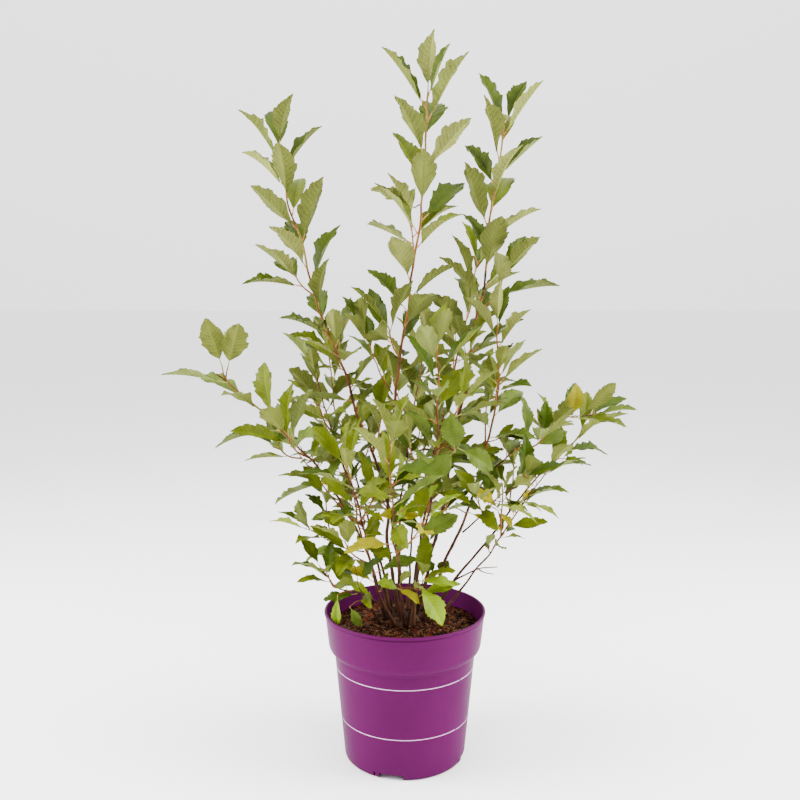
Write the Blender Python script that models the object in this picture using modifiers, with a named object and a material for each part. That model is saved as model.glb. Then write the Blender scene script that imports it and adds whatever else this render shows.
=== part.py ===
"""Potted pearlbush: a young shrub of many canes in a 20 cm nursery pot.

The origin is the centre of the pot's underside, +Z is up, and the front faces -Y.
Lengths are in metres. Rows of sizes are in millimetres, and MM turns them into metres.
"""

import math
import random
from collections import namedtuple

import bmesh
import bpy
from mathutils import Matrix, Quaternion, Vector
from mathutils.bvhtree import BVHTree
from mathutils.geometry import interpolate_bezier

MM = 0.001
GAP = 0.3 * MM

# Pot
POT_SIDES = 36
WALL = 2 * MM
POT_HEIGHT = 185.5 * MM
RIM_RADIUS = 100 * MM
LIP_FOOT = 182.6 * MM
LIP_ROUND = 0.6 * MM
MOUTH_ROUND = 0.4 * MM
BAND_TOP = 182 * MM
BAND_TOP_RADIUS = 98.9 * MM
BAND_FOOT = 144.5 * MM
BAND_FOOT_RADIUS = 94.8 * MM
STEP_TOP = 138.5 * MM
STEP_TOP_RADIUS = 92.6 * MM
STEP_FOOT = 133 * MM
STEP_FOOT_RADIUS = 88.6 * MM
BODY_TOP = 128 * MM
BODY_TOP_RADIUS = 87 * MM
FOOT_TOP = 4.5 * MM
FOOT_RADIUS = 75.6 * MM
FOOT_EDGE = 1.2 * MM
RING_OUTER = 72.6 * MM
RING_INNER = 66.8 * MM
BASE_UNDERSIDE = 5.5 * MM
BASE_TOP = 7.5 * MM
NOTCH_WIDTH = 24 * MM
NOTCH_DEPTH = 16 * MM
NOTCH_HEIGHT = 5 * MM
NOTCH_COUNT = 4
FIRST_NOTCH_DEGREES = -105

# Compost
SOIL_TOP = 168 * MM
SOIL_EDGE = 163 * MM
SOIL_FLAT_RADIUS = 45 * MM

# Root crown
CROWN_SIDES = 16
CROWN_FOOT_RADIUS = 31 * MM
CROWN_RADIUS = 25 * MM
CROWN_NECK = 20 * MM
CROWN_HEIGHT = 13 * MM
STUB_FOOT = 3 * MM
COLLAR = 30 * MM
FLARE = 1.25

# Canes
PATH_STEP = 36 * MM
STEP_MARGIN = 3 * MM
TIP_SHARE = 0.42
TAPER_POWER = 0.8
CANE_RESOLUTION = 1
STEM_PLUMP = 1.15
THINNEST_STEM = 0.9 * MM
TIP_MARGIN = 1 * MM
CLEARANCE = 0.6 * MM

# Side twigs, whose sizes go with the length of the twig
TWIG_REACH = (34 * MM, 58 * MM)
TWIG_STEPS = 3
TWIG_SWELL = 0.2
TWIG_BEND = 0.7
TWIG_LIFT = 0.35
TWIG_LEAVES = 4
TWIG_LEAFY_SHARE = 0.62
TWIG_LEAF_SHARE = 0.78
TWIGS_BELOW = 0.35

# Leaves: angles in degrees, and other sizes as shares of the leaf's length
SPIRAL = 137.5
SPIRAL_SWAY = 12
LEAF_WIDTH = 0.42
LEAF_THICKNESS = 0.025
LEAF_MIDDLE = 0.4
LEAF_FOLD = 0.16
LEAF_DROOP = 0.07
LEAF_ROLL = 35
LEAF_LIFT = 0.35
LEAF_UPRIGHT = 0.9
LEAF_SWAYS = ((0, 1), (25, 1), (-25, 1), (50, 0.85), (-50, 0.85))
TIP_TILT = 22
TOP_TILT = 36
LOW_TILT = 14
SHADE_TILT = 26
SHADE_TOP = 560 * MM
SHADE_DEPTH = 220 * MM
TIP_SIZE = 0.82
TOP_SIZE = 1.06
LOW_SIZE = 0.2
ROOT_SINK = 0.35
PROBE_WIDTH = 0.47
PROBE_START = 4 * MM

# A cane: its foot, two bends and tip in millimetres, its girth at the foot, the share of its length
# with no leaves, the distance between leaves and the longest leaf in millimetres, how many leaves
# there are to a side twig, the turn of its top leaf in degrees, and the seed of its small chances.
# A bough that leaves another cane names it and the share of that cane's length where it leaves, in
# place of a foot.
Cane = namedtuple("Cane", "name foot rise bend tip girth bare gap leaf twigs turn seed")

CANES = (
    Cane("left_tall", (-12, 8, 168), (20, 12, 325), (-135, 18, 562), (-151, 30, 750),
         girth=7.0, bare=0.22, gap=17, leaf=72, twigs=6, turn=320, seed=10),
    Cane("centre_tall", (-2, -4, 168), (-60, -6, 355), (30, -20, 610), (27, -30, 800),
         girth=7.0, bare=0.46, gap=18, leaf=76, twigs=6, turn=270, seed=11),
    Cane("right_tall", (11, 8, 168), (70, 14, 360), (95, 30, 595), (121, 50, 785),
         girth=7.0, bare=0.24, gap=17, leaf=74, twigs=5, turn=30, seed=5),
    Cane("back_right", (8, 20, 168), (15, 32, 310), (70, 75, 480), (97, 112, 615),
         girth=6.0, bare=0.28, gap=17, leaf=64, twigs=5, turn=180, seed=2),
    Cane("right_red", (21, -3, 168), (75, 0, 315), (125, -15, 405), (109, -20, 540),
         girth=6.5, bare=0.47, gap=14, leaf=62, twigs=4, turn=270, seed=1),
    Cane("centre_red", (9, -15, 168), (20, -26, 285), (45, -55, 405), (36, -90, 512),
         girth=6.0, bare=0.28, gap=15, leaf=66, twigs=4, turn=300, seed=3),
    Cane("back_centre", (-4, 18, 168), (-15, 30, 275), (0, 70, 410), (36, 100, 510),
         girth=5.5, bare=0.3, gap=16, leaf=64, twigs=4, turn=150, seed=2),
    Cane("left_inner", (-19, 8, 168), (-35, 8, 285), (-95, 20, 380), (-115, 30, 500),
         girth=5.5, bare=0.28, gap=15, leaf=62, twigs=4, turn=270, seed=1),
    Cane("left_long", (-24, -3, 168), (-45, -16, 315), (-111, -17, 393), (-222, -33, 480),
         girth=6.0, bare=0.42, gap=17, leaf=74, twigs=5, turn=300, seed=8),
    Cane("front_left", (-11, -17, 168), (-50, -35, 240), (-45, -65, 310), (-70, -110, 392),
         girth=5.0, bare=0.22, gap=14, leaf=62, twigs=4, turn=30, seed=7),
    Cane("right_low", (25, 9, 168), (95, 20, 255), (155, 32, 340), (236, 44, 412),
         girth=5.5, bare=0.48, gap=17, leaf=60, twigs=5, turn=220, seed=11),
    Cane("right_thin", (32, -5, 168), (90, -8, 230), (130, -14, 310), (175, -30, 375),
         girth=4.5, bare=0.45, gap=16, leaf=54, twigs=4, turn=120, seed=10),
    Cane("low_left", (-29, -14, 168), (-45, -20, 235), (-90, -35, 200), (-100, -50, 256),
         girth=4.0, bare=0.35, gap=14, leaf=50, twigs=4, turn=90, seed=10),
    Cane("low_front", (2, -28, 168), (8, -38, 215), (15, -60, 215), (25, -75, 252),
         girth=3.5, bare=0.38, gap=14, leaf=54, twigs=0, turn=200, seed=15),
    Cane("back_left", (-16, 21, 168), (-30, 45, 280), (-95, 95, 380), (-105, 120, 500),
         girth=5.5, bare=0.28, gap=16, leaf=62, twigs=4, turn=120, seed=3),
    Cane("back_low", (4, 31, 168), (5, 60, 270), (25, 124, 350), (20, 174, 420),
         girth=5.0, bare=0.32, gap=16, leaf=60, twigs=4, turn=340, seed=14),
    Cane("front_mid", (-1, -27, 168), (-5, -55, 270), (-20, -120, 330), (-15, -165, 425),
         girth=4.5, bare=0.35, gap=16, leaf=62, twigs=4, turn=150, seed=11),
)

BOUGHS = (
    Cane("right_long", ("right_red", 0.45), (122, -20, 383), (155, -24, 424), (224, -32, 432),
         girth=3.6, bare=0.18, gap=15, leaf=58, twigs=4, turn=300, seed=11),
    Cane("left_thin", ("left_long", 0.40), (-103, 5, 340), (-125, 30, 370), (-159, 60, 392),
         girth=3.2, bare=0.12, gap=16, leaf=56, twigs=4, turn=0, seed=8),
    Cane("left_low", ("left_long", 0.24), (-66, -20, 275), (-85, -35, 262), (-115, -45, 300),
         girth=3.0, bare=0.15, gap=14, leaf=54, twigs=4, turn=200, seed=1),
    Cane("right_front", ("right_red", 0.30), (95, -22, 315), (115, -60, 345), (136, -85, 372),
         girth=3.4, bare=0.15, gap=14, leaf=56, twigs=4, turn=210, seed=4),
    Cane("low_shoot", ("front_left", 0.13), (-48, -46, 218), (-58, -60, 228), (-62, -78, 268),
         girth=2.6, bare=0.15, gap=12, leaf=46, twigs=0, turn=180, seed=4),
    Cane("dead_twig", ("right_low", 0.17), (75, 0, 240), (95, -10, 236), (112, -20, 244),
         girth=2.6, bare=1.0, gap=0, leaf=0, twigs=0, turn=0, seed=1),
    Cane("left_shoot", ("centre_tall", 0.44), (-32, -20, 480), (-36, -26, 505), (-48, -32, 533),
         girth=3.0, bare=0.12, gap=14, leaf=56, twigs=0, turn=330, seed=6),
)

COLOURS = {
    "pot": ((0.27, 0.024, 0.24), 0.38),
    "soil": ((0.06, 0.026, 0.016), 0.95),
    "bark": ((0.16, 0.075, 0.05), 0.7),
    "leaf": ((0.12, 0.19, 0.055), 0.55),
}


def clear_scene():
    for obj in list(bpy.data.objects):
        bpy.data.objects.remove(obj, do_unlink=True)


def new_collection(name, helper=False):
    collection = bpy.data.collections.new(name)
    bpy.context.scene.collection.children.link(collection)
    collection.hide_render = helper
    return collection


def new_material(name):
    colour, roughness = COLOURS[name]
    material = bpy.data.materials.new(name)
    material.use_nodes = True
    shader = material.node_tree.nodes["Principled BSDF"]
    shader.inputs["Base Color"].default_value = (*colour, 1)
    shader.inputs["Roughness"].default_value = roughness
    shader.inputs["Metallic"].default_value = 0
    material.diffuse_color = (*colour, 1)
    return material


def add_object(name, data, collection, material=None):
    obj = bpy.data.objects.new(name, data)
    collection.objects.link(obj)
    if material:
        data.materials.clear()
        data.materials.append(material)
    return obj


def applied_mesh(obj):
    """The object's shape in triangles, its modifiers applied and a curve's loose caps welded on."""
    graph = bpy.context.evaluated_depsgraph_get()
    graph.update()
    mesh = bpy.data.meshes.new_from_object(obj.evaluated_get(graph))
    shape = bmesh.new()
    shape.from_mesh(mesh)
    bmesh.ops.remove_doubles(shape, verts=shape.verts, dist=0.001 * MM)
    bmesh.ops.triangulate(shape, faces=shape.faces)
    shape.to_mesh(mesh)
    shape.free()
    return mesh


def turned(name, profile, sides, collection, material):
    """A solid of revolution from (radius, height) points that run down its outer side."""
    mesh = bpy.data.meshes.new(name)
    edges = [(i, i + 1) for i in range(len(profile) - 1)]
    if profile[0][0] > 0:
        edges.append((len(profile) - 1, 0))
    mesh.from_pydata([(r, 0, z) for r, z in profile], edges, [])
    obj = add_object(name, mesh, collection, material)
    screw = obj.modifiers.new("turn", "SCREW")
    screw.steps = sides
    screw.render_steps = sides
    screw.use_merge_vertices = True
    screw.merge_threshold = 0.05 * MM
    return obj


def band_radius(height):
    """Outer radius of the rim band between its lower edge and the lip."""
    share = (height - BAND_FOOT) / (BAND_TOP - BAND_FOOT)
    return BAND_FOOT_RADIUS + share * (BAND_TOP_RADIUS - BAND_FOOT_RADIUS)


def inner_radius(height):
    """Radius of the pot's inner wall, which follows the body and then the rim band."""
    share = (height - BASE_TOP) / (BODY_TOP - BASE_TOP)
    if share <= 1:
        return FOOT_RADIUS - WALL + share * (BODY_TOP_RADIUS - FOOT_RADIUS)
    return band_radius(height) - WALL


def make_pot(collection, cutters):
    outer = [
        (RIM_RADIUS, POT_HEIGHT),
        (RIM_RADIUS, LIP_FOOT),
        (band_radius(LIP_FOOT), LIP_FOOT - LIP_ROUND),
        (BAND_FOOT_RADIUS, BAND_FOOT),
        (STEP_TOP_RADIUS, STEP_TOP),
        (STEP_FOOT_RADIUS, STEP_FOOT),
        (BODY_TOP_RADIUS, BODY_TOP),
        (FOOT_RADIUS, FOOT_TOP),
        (FOOT_RADIUS - FOOT_EDGE, FOOT_EDGE),
        (RING_OUTER, 0),
        (RING_INNER, 0),
        (RING_INNER, BASE_UNDERSIDE),
        (0, BASE_UNDERSIDE),
    ]
    inner = [
        (0, BASE_TOP),
        (inner_radius(BASE_TOP), BASE_TOP),
        (inner_radius(BODY_TOP), BODY_TOP),
        (inner_radius(BAND_FOOT), BAND_FOOT),
        (inner_radius(POT_HEIGHT) - MOUTH_ROUND, POT_HEIGHT),
    ]
    pot = turned("pot", outer + inner, POT_SIDES, collection, new_material("pot"))
    for i in range(NOTCH_COUNT):
        notch = make_notch(i, cutters)
        cut = pot.modifiers.new(notch.name, "BOOLEAN")
        cut.object = notch
        cut.solver = "EXACT"


def make_notch(i, cutters):
    """A block that cuts one drainage notch out of the foot ring."""
    angle = math.radians(FIRST_NOTCH_DEGREES + i * 360 / NOTCH_COUNT)
    radius = (RING_INNER + FOOT_RADIUS) / 2
    bpy.ops.mesh.primitive_cube_add(size=1)
    notch = bpy.context.object
    notch.name = f"foot_notch_{i + 1}"
    notch.location = (radius * math.cos(angle), radius * math.sin(angle), 0)
    notch.rotation_euler.z = angle
    notch.scale = (NOTCH_DEPTH, NOTCH_WIDTH, 2 * NOTCH_HEIGHT)
    notch.display_type = "WIRE"
    notch.hide_render = True
    for owner in list(notch.users_collection):
        owner.objects.unlink(notch)
    cutters.objects.link(notch)
    return notch


def make_soil(collection):
    bottom = BASE_TOP + GAP
    profile = [
        (0, SOIL_TOP),
        (SOIL_FLAT_RADIUS, SOIL_TOP),
        (inner_radius(SOIL_EDGE) - GAP, SOIL_EDGE),
        (inner_radius(BAND_FOOT) - GAP, BAND_FOOT),
        (inner_radius(BODY_TOP) - GAP, BODY_TOP),
        (inner_radius(bottom) - GAP, bottom),
        (0, bottom),
    ]
    turned("compost", profile, POT_SIDES, collection, new_material("soil"))


class Path:
    """A line of short straight steps along a smooth curve, read by the distance along it."""

    def __init__(self, foot, rise, bend, tip, steps):
        self.points = interpolate_bezier(foot, rise, bend, tip, steps + 1)
        self.marks = [0.0]
        for a, b in zip(self.points, self.points[1:]):
            self.marks.append(self.marks[-1] + (b - a).length)
        self.length = self.marks[-1]

    def at(self, distance):
        """Point and direction at this distance from the foot."""
        distance = min(max(distance, 0), self.length)
        i = next(i for i, mark in enumerate(self.marks[1:]) if mark >= distance - 1e-9)
        step = self.points[i + 1] - self.points[i]
        share = (distance - self.marks[i]) / (self.marks[i + 1] - self.marks[i])
        return self.points[i] + share * step, step.normalized()

    def marks_between(self, start, end):
        """The two distances and every corner of the line between them."""
        return [start] + [mark for mark in self.marks if start < mark < end] + [end]

    def off_corners(self, distance):
        """This distance, or one a little further along where a corner of the line is too near it."""
        for mark in self.marks:
            if abs(mark - distance) < STEP_MARGIN:
                return mark + STEP_MARGIN
        return distance


def in_metres(point):
    return Vector(point) * MM


class Limb:
    """One cane with its path, its taper, and where its bare wood ends and its foliage starts."""

    def __init__(self, cane, limbs):
        self.cane = cane
        self.foot_radius = cane.girth / 2 * MM
        self.parent = limbs.get(cane.foot[0])
        if self.parent:
            parent = self.parent
            rise = in_metres(cane.rise)
            mark = cane.foot[1] * parent.path.length
            fork, along = parent.path.at(mark)
            leaving = (rise - fork).normalized()
            cosine = leaving.dot(along)
            sine = math.sqrt(1 - cosine * cosine)
            step = (parent.radius(mark) + GAP + self.foot_radius * abs(cosine)) / sine
            foot = fork + leaving * step
        else:
            foot = in_metres(cane.foot)
        steps = round((in_metres(cane.tip) - foot).length / PATH_STEP)
        self.path = Path(foot, in_metres(cane.rise), in_metres(cane.bend), in_metres(cane.tip), steps)
        self.start = 0 if self.parent else self.path.off_corners(COLLAR)
        self.leafy_from = cane.bare * self.path.length
        if not self.is_bare():
            self.leafy_from = self.path.off_corners(self.leafy_from)

    def is_bare(self):
        return self.cane.bare == 1

    def radius(self, distance):
        """Radius of the wood, thickest at the foot."""
        share = min(max(distance / self.path.length, 0), 1)
        flare = (FLARE - 1) * max(0, 1 - distance / COLLAR) if self.start else 0
        return self.foot_radius * (1 + flare + (TIP_SHARE - 1) * share**TAPER_POWER)

    def points(self, start, end):
        """Points and radii along the limb between two distances."""
        marks = self.path.marks_between(start, end)
        return [self.path.at(mark)[0] for mark in marks], [self.radius(mark) for mark in marks]


def tube(name, points, radii, collection, material=None, profile=None):
    """A tapering tube with closed ends, round or with the sides of a profile curve."""
    data = bpy.data.curves.new(name, "CURVE")
    data.dimensions = "3D"
    data.use_fill_caps = True
    if profile:
        data.bevel_mode = "OBJECT"
        data.bevel_object = profile
    else:
        data.bevel_depth = 1
        data.bevel_resolution = CANE_RESOLUTION
    spline = data.splines.new("POLY")
    spline.points.add(len(points) - 1)
    for spot, point, radius in zip(spline.points, points, radii):
        spot.co = (*point, 1)
        spot.radius = radius
    return add_object(name, data, collection, material)


def as_mesh(curve, collection, material=None):
    """Turns a curve object into a mesh object that a Boolean can take."""
    name = curve.name
    mesh = applied_mesh(curve)
    place = curve.matrix_world.copy()
    bpy.data.objects.remove(curve, do_unlink=True)
    obj = add_object(name, mesh, collection, material)
    obj.matrix_world = place
    return obj


def largest_piece(mesh):
    """Drops the scraps that a union may leave: faces that no whole edge joins to the main solid."""
    shape = bmesh.new()
    shape.from_mesh(mesh)
    waiting = set(shape.faces)
    pieces = []
    while waiting:
        piece = set()
        front = [waiting.pop()]
        while front:
            face = front.pop()
            piece.add(face)
            for edge in face.edges:
                if len(edge.link_faces) == 2:
                    front.extend(waiting.intersection(edge.link_faces))
                    waiting.difference_update(edge.link_faces)
        pieces.append(piece)
    pieces.sort(key=len)
    scraps = [face for piece in pieces[:-1] for face in piece]
    bmesh.ops.delete(shape, geom=scraps, context="FACES")
    shape.to_mesh(mesh)
    shape.free()


def fuse(obj, extras):
    """Joins every object of a collection to this one by one Boolean union, then removes them."""
    union = obj.modifiers.new("fuse", "BOOLEAN")
    union.operation = "UNION"
    union.operand_type = "COLLECTION"
    union.collection = extras
    union.solver = "EXACT"
    material = obj.data.materials[0]
    mesh = applied_mesh(obj)
    largest_piece(mesh)
    obj.modifiers.clear()
    obj.data = mesh
    mesh.materials.clear()
    mesh.materials.append(material)
    for extra in list(extras.objects):
        bpy.data.objects.remove(extra, do_unlink=True)


def make_root_crown(limbs, collection, extras, material):
    """The woody stock at the compost, with a stub for each cane."""
    foot = SOIL_TOP + GAP
    profile = [
        (0, foot + CROWN_HEIGHT),
        (CROWN_NECK, foot + CROWN_HEIGHT * 0.8),
        (CROWN_RADIUS, foot + CROWN_HEIGHT * 0.35),
        (CROWN_FOOT_RADIUS, foot),
        (0, foot),
    ]
    crown = turned("root_crown", profile, CROWN_SIDES, collection, material)
    for limb in limbs.values():
        if limb.start:
            stub = tube("stub", *limb.points(STUB_FOOT, limb.start - GAP), extras)
            as_mesh(stub, extras)
    fuse(crown, extras)


def leaf_mesh():
    """A folded leaf of twelve faces, one long, with its stalk end at the origin and its tip on +Y."""
    outline = ((0.5, 0.46), (0.42, 0.77), (0, 1), (-0.42, 0.77), (-0.5, 0.46), (0, 0))
    shape = bmesh.new()
    bmesh.ops.create_uvsphere(shape, u_segments=6, v_segments=2, radius=1)
    for vert in shape.verts:
        if abs(vert.co.z) > 0.5:
            side = math.copysign(LEAF_THICKNESS / 2, vert.co.z)
            vert.co = (0, LEAF_MIDDLE, side + LEAF_DROOP * 0.3)
            continue
        turn = round(math.atan2(vert.co.y, vert.co.x) / math.radians(60)) % 6
        x, y = outline[turn]
        vert.co = (x, y, abs(x) * LEAF_FOLD - LEAF_DROOP * y * y)
    mesh = bpy.data.meshes.new("leaf")
    shape.to_mesh(mesh)
    shape.free()
    return mesh


def leaf_matrix(root, along, up, length, width=LEAF_WIDTH):
    """Places the leaf: its root, the way it points, the way its upper side faces, its length."""
    side = along.cross(up).normalized()
    up = side.cross(along).normalized()
    columns = (side * length * width, along * length, up * length)
    matrix = Matrix.Identity(4)
    for i, column in enumerate(columns):
        matrix[0][i], matrix[1][i], matrix[2][i] = column
    matrix.translation = root
    return matrix


def sleeve(points, radii):
    """A four-sided tube round a line, as a tree that tells what crosses it."""
    corners = []
    for i, (point, radius) in enumerate(zip(points, radii)):
        way = points[min(i + 1, len(points) - 1)] - points[max(i - 1, 0)]
        for turn in range(0, 360, 90):
            corners.append(point + outward(way.normalized(), turn) * (radius * 1.3 + CLEARANCE))
    faces = []
    for i in range(len(points) - 1):
        for j in range(4):
            k = (j + 1) % 4
            faces.append((4 * i + j, 4 * i + k, 4 * i + 4 + k, 4 * i + 4 + j))
    return BVHTree.FromPolygons(corners, faces)


def outward(stem_way, turn):
    """The way out of a stem at this turn, where 0 is +X and 90 is +Y on an upright stem."""
    angle = math.radians(turn)
    lean = Vector((0, 0, 1)).rotation_difference(stem_way)
    return lean @ Vector((math.cos(angle), math.sin(angle), 0))


class Foliage:
    """Where the leaves and side twigs of one cane grow, each clear of what already fills the space."""

    def __init__(self, limb, space, leaf):
        self.limb = limb
        self.cane = limb.cane
        self.space = space
        self.corners = [v.co.copy() for v in leaf.vertices]
        self.faces = [tuple(p.vertices) for p in leaf.polygons]
        self.draw = random.Random(self.cane.seed)
        self.leaves = []
        self.twigs = []
        self.blades = []
        self.grow()
        space[self.cane.name] += self.blades

    def clear(self, probe):
        """Whether this solid crosses no other cane, no other cane's leaves and no leaf of its own."""
        for name, trees in self.space.items():
            if name != self.cane.name and any(tree.overlap(probe) for tree in trees):
                return False
        return not any(blade.overlap(probe) for blade in self.blades)

    def probe(self, matrix):
        return BVHTree.FromPolygons([matrix @ corner for corner in self.corners], self.faces)

    def try_leaf(self, point, stem_way, radius, turn, tilt, length):
        """Adds the leaf where the spiral puts it, or turned a little, or not at all."""
        length *= MM
        roll = math.radians(self.draw.uniform(-LEAF_ROLL, LEAF_ROLL))
        for sway, share in LEAF_SWAYS:
            out = outward(stem_way, turn + sway)
            along = stem_way * math.cos(tilt) + out * math.sin(tilt)
            along.z += LEAF_LIFT * (1 - abs(stem_way.z))
            along.normalize()
            up = stem_way + Vector((0, 0, LEAF_UPRIGHT))
            up.rotate(Quaternion(along, roll))
            reach = length * share + CLEARANCE
            start = point + along * PROBE_START
            probe = self.probe(leaf_matrix(start, along, up, reach, PROBE_WIDTH))
            if self.clear(probe):
                self.blades.append(probe)
                self.leaves.append((point - along * radius * ROOT_SINK, along, up, length * share))
                return

    def add_twig(self, point, stem_way, turn):
        """A short side shoot with its own leaves, where there is room for it."""
        way = (stem_way + outward(stem_way, turn)).normalized()
        reach = self.draw.uniform(*TWIG_REACH)
        lift = Vector((0, 0, TWIG_LIFT))
        rise = point + way * reach * 0.4
        bend = point + (way + lift * 0.4) * reach * TWIG_BEND
        tip = point + (way * 0.85 + lift) * reach
        path = Path(point, rise, bend, tip, TWIG_STEPS)
        radii = [THINNEST_STEM * (1 + TWIG_SWELL * i) for i in range(TWIG_STEPS, -1, -1)]
        if not self.clear(sleeve(path.points, radii)):
            return
        self.twigs.append((path.points, radii))
        for i in range(TWIG_LEAVES):
            mark = path.length * (1 - TWIG_LEAFY_SHARE * i / TWIG_LEAVES) - TIP_MARGIN
            spot, along = path.at(mark)
            tilt = math.radians(TIP_TILT + 10 * i)
            size = self.cane.leaf * (TWIG_LEAF_SHARE + 0.05 * i)
            self.try_leaf(spot, along, THINNEST_STEM, turn + i * SPIRAL, tilt, size)

    def grow(self):
        """Sets leaves and side twigs in a spiral from the tip down to where the foliage starts."""
        limb, cane, draw = self.limb, self.cane, self.draw
        turn = cane.turn
        mark = limb.path.length - TIP_MARGIN
        leafy = mark - limb.leafy_from
        count = 0
        while mark > limb.leafy_from + 6 * MM:
            low = (limb.path.length - mark) / leafy
            point, stem_way = limb.path.at(mark)
            if cane.twigs and low > TWIGS_BELOW and count % cane.twigs == 0:
                self.add_twig(point, stem_way, turn + draw.uniform(-15, 15))
            else:
                shade = min(max((SHADE_TOP - point.z) / SHADE_DEPTH, 0), 1)
                tilt = min(TIP_TILT + 5 * count, TOP_TILT + LOW_TILT * low + SHADE_TILT * shade)
                tilt = math.radians(tilt + draw.uniform(-6, 6))
                size = min(TIP_SIZE + 0.07 * count, TOP_SIZE - LOW_SIZE * low)
                size *= draw.uniform(0.9, 1.04)
                radius = stem_radius(limb.radius(mark))
                self.try_leaf(point, stem_way, radius, turn, tilt, cane.leaf * size)
            turn += SPIRAL + draw.uniform(-SPIRAL_SWAY, SPIRAL_SWAY)
            mark -= cane.gap * MM * min(1, 0.35 + 0.25 * count)
            count += 1


def stem_radius(radius):
    """A three-sided stem is made plumper than the round cane that it continues."""
    return max(radius * STEM_PLUMP, THINNEST_STEM)


def leafy_stem(limb):
    """Points and radii of the stem that carries the leaves, just clear of the bare cane's tip."""
    points, radii = limb.points(limb.leafy_from + GAP, limb.path.length)
    return points, [stem_radius(radius) for radius in radii]


def make_foliage(foliage, leaf, profile, collection, extras, material):
    """One mass: the leafy stem with its side twigs and leaves fused on."""
    name = f"foliage_{foliage.cane.name}"
    points, radii = leafy_stem(foliage.limb)
    stem = as_mesh(tube(name, points, radii, collection, material, profile), collection, material)
    for spots, sizes in foliage.twigs:
        as_mesh(tube("twig", spots, sizes, extras, None, profile), extras)
    for place in foliage.leaves:
        obj = add_object("leaf", leaf, extras)
        obj.matrix_world = leaf_matrix(*place)
    fuse(stem, extras)


def three_sided_profile(collection):
    """The cross-section of a twig: a triangle of unit radius."""
    data = bpy.data.curves.new("twig_profile", "CURVE")
    data.dimensions = "2D"
    spline = data.splines.new("POLY")
    spline.points.add(2)
    for i, spot in enumerate(spline.points):
        angle = math.radians(-90 - 120 * i)
        spot.co = (math.cos(angle), math.sin(angle), 0, 1)
    spline.use_cyclic_u = True
    profile = add_object("twig_profile", data, collection)
    profile.hide_render = True
    return profile


def main():
    clear_scene()
    plant = new_collection("potted_pearlbush")
    helpers = new_collection("helpers", helper=True)
    extras = new_collection("to_fuse", helper=True)
    bark = new_material("bark")
    foliage = new_material("leaf")
    make_pot(plant, helpers)
    make_soil(plant)
    limbs = {}
    for cane in CANES + BOUGHS:
        limbs[cane.name] = Limb(cane, limbs)
    make_root_crown(limbs, plant, extras, bark)
    space = {}
    for name, limb in limbs.items():
        points, radii = limb.points(limb.start, limb.leafy_from)
        tube(f"cane_{name}", points, radii, plant, bark)
        space[f"cane_{name}"] = [sleeve(points, radii)]
        space[name] = [] if limb.is_bare() else [sleeve(*leafy_stem(limb))]
    profile = three_sided_profile(helpers)
    leaf = leaf_mesh()
    for limb in limbs.values():
        if not limb.is_bare():
            make_foliage(Foliage(limb, space, leaf), leaf, profile, plant, extras, foliage)
    bpy.data.collections.remove(extras)


main()
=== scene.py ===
"""Dressed look of the potted pearlbush: a smooth pot, loose compost, bark, and leaves with teeth and veins.

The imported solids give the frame, and the pieces here stand for them. Canes, side twigs and leaves grow by
the rule of the part's source, so that each one lies where its solid is, and short spurs with small leaves
fill in between them. Lengths are in metres. Rows of sizes are in millimetres, and MM turns them into metres.
"""

import math
import random
from collections import namedtuple
from types import SimpleNamespace

import bpy
import numpy as np
from mathutils import Euler, Matrix, Quaternion, Vector, noise
from mathutils.bvhtree import BVHTree
from mathutils.geometry import interpolate_bezier

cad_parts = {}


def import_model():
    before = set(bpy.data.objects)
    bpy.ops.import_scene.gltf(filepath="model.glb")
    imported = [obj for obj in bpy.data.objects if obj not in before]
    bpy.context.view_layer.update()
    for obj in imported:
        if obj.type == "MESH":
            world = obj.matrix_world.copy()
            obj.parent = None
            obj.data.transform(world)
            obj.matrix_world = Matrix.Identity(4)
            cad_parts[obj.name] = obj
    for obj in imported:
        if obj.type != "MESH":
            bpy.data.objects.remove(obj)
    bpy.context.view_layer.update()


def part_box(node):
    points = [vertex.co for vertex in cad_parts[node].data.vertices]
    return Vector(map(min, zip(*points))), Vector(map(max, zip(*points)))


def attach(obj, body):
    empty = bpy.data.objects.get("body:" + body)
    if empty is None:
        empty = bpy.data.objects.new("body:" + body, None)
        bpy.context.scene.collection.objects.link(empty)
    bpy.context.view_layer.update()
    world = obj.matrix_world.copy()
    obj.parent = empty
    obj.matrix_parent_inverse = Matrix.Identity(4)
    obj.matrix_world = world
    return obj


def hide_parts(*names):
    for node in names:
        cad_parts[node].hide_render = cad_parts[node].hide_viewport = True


MM = 0.001
GAP = 0.3 * MM

# Camera, fitted to the pot's rim, band and foot in the photograph
CAMERA_PLACE = (-0.006, -1.083, 0.574)
CAMERA_PITCH = 6.71
CAMERA_LENS = 40.5

# Pot
POT_FACETS = 180
WALL = 2 * MM
POT_HEIGHT = 185.5 * MM
RIM_RADIUS = 100 * MM
LIP_FOOT = 182.6 * MM
LIP_GROOVE = 0.9 * MM
BAND_TOP = 182 * MM
BAND_TOP_RADIUS = 98.9 * MM
BAND_MIDDLE = 165 * MM
BAND_FOOT = 144.5 * MM
BAND_FOOT_RADIUS = 94.8 * MM
STEP_EDGE = 138 * MM
STEP_EDGE_RADIUS = 91.4 * MM
STEP_NOOK_RADIUS = 87.4 * MM
STEP_FOOT = 133 * MM
BODY_TOP = 128 * MM
BODY_TOP_RADIUS = 87 * MM
BODY_RINGS = (90 * MM, 45 * MM)
FOOT_TOP = 4.5 * MM
FOOT_RADIUS = 75.6 * MM
FOOT_EDGE = 1.2 * MM
RING_OUTER = 72.6 * MM
RING_INNER = 66.8 * MM
BASE_UNDERSIDE = 5.5 * MM
BASE_TOP = 7.5 * MM
INNER_RING = 170 * MM
AXIS_HAIR = 0.01 * MM
WELD = 2 * AXIS_HAIR
SHARP_EDGE = 35
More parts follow.
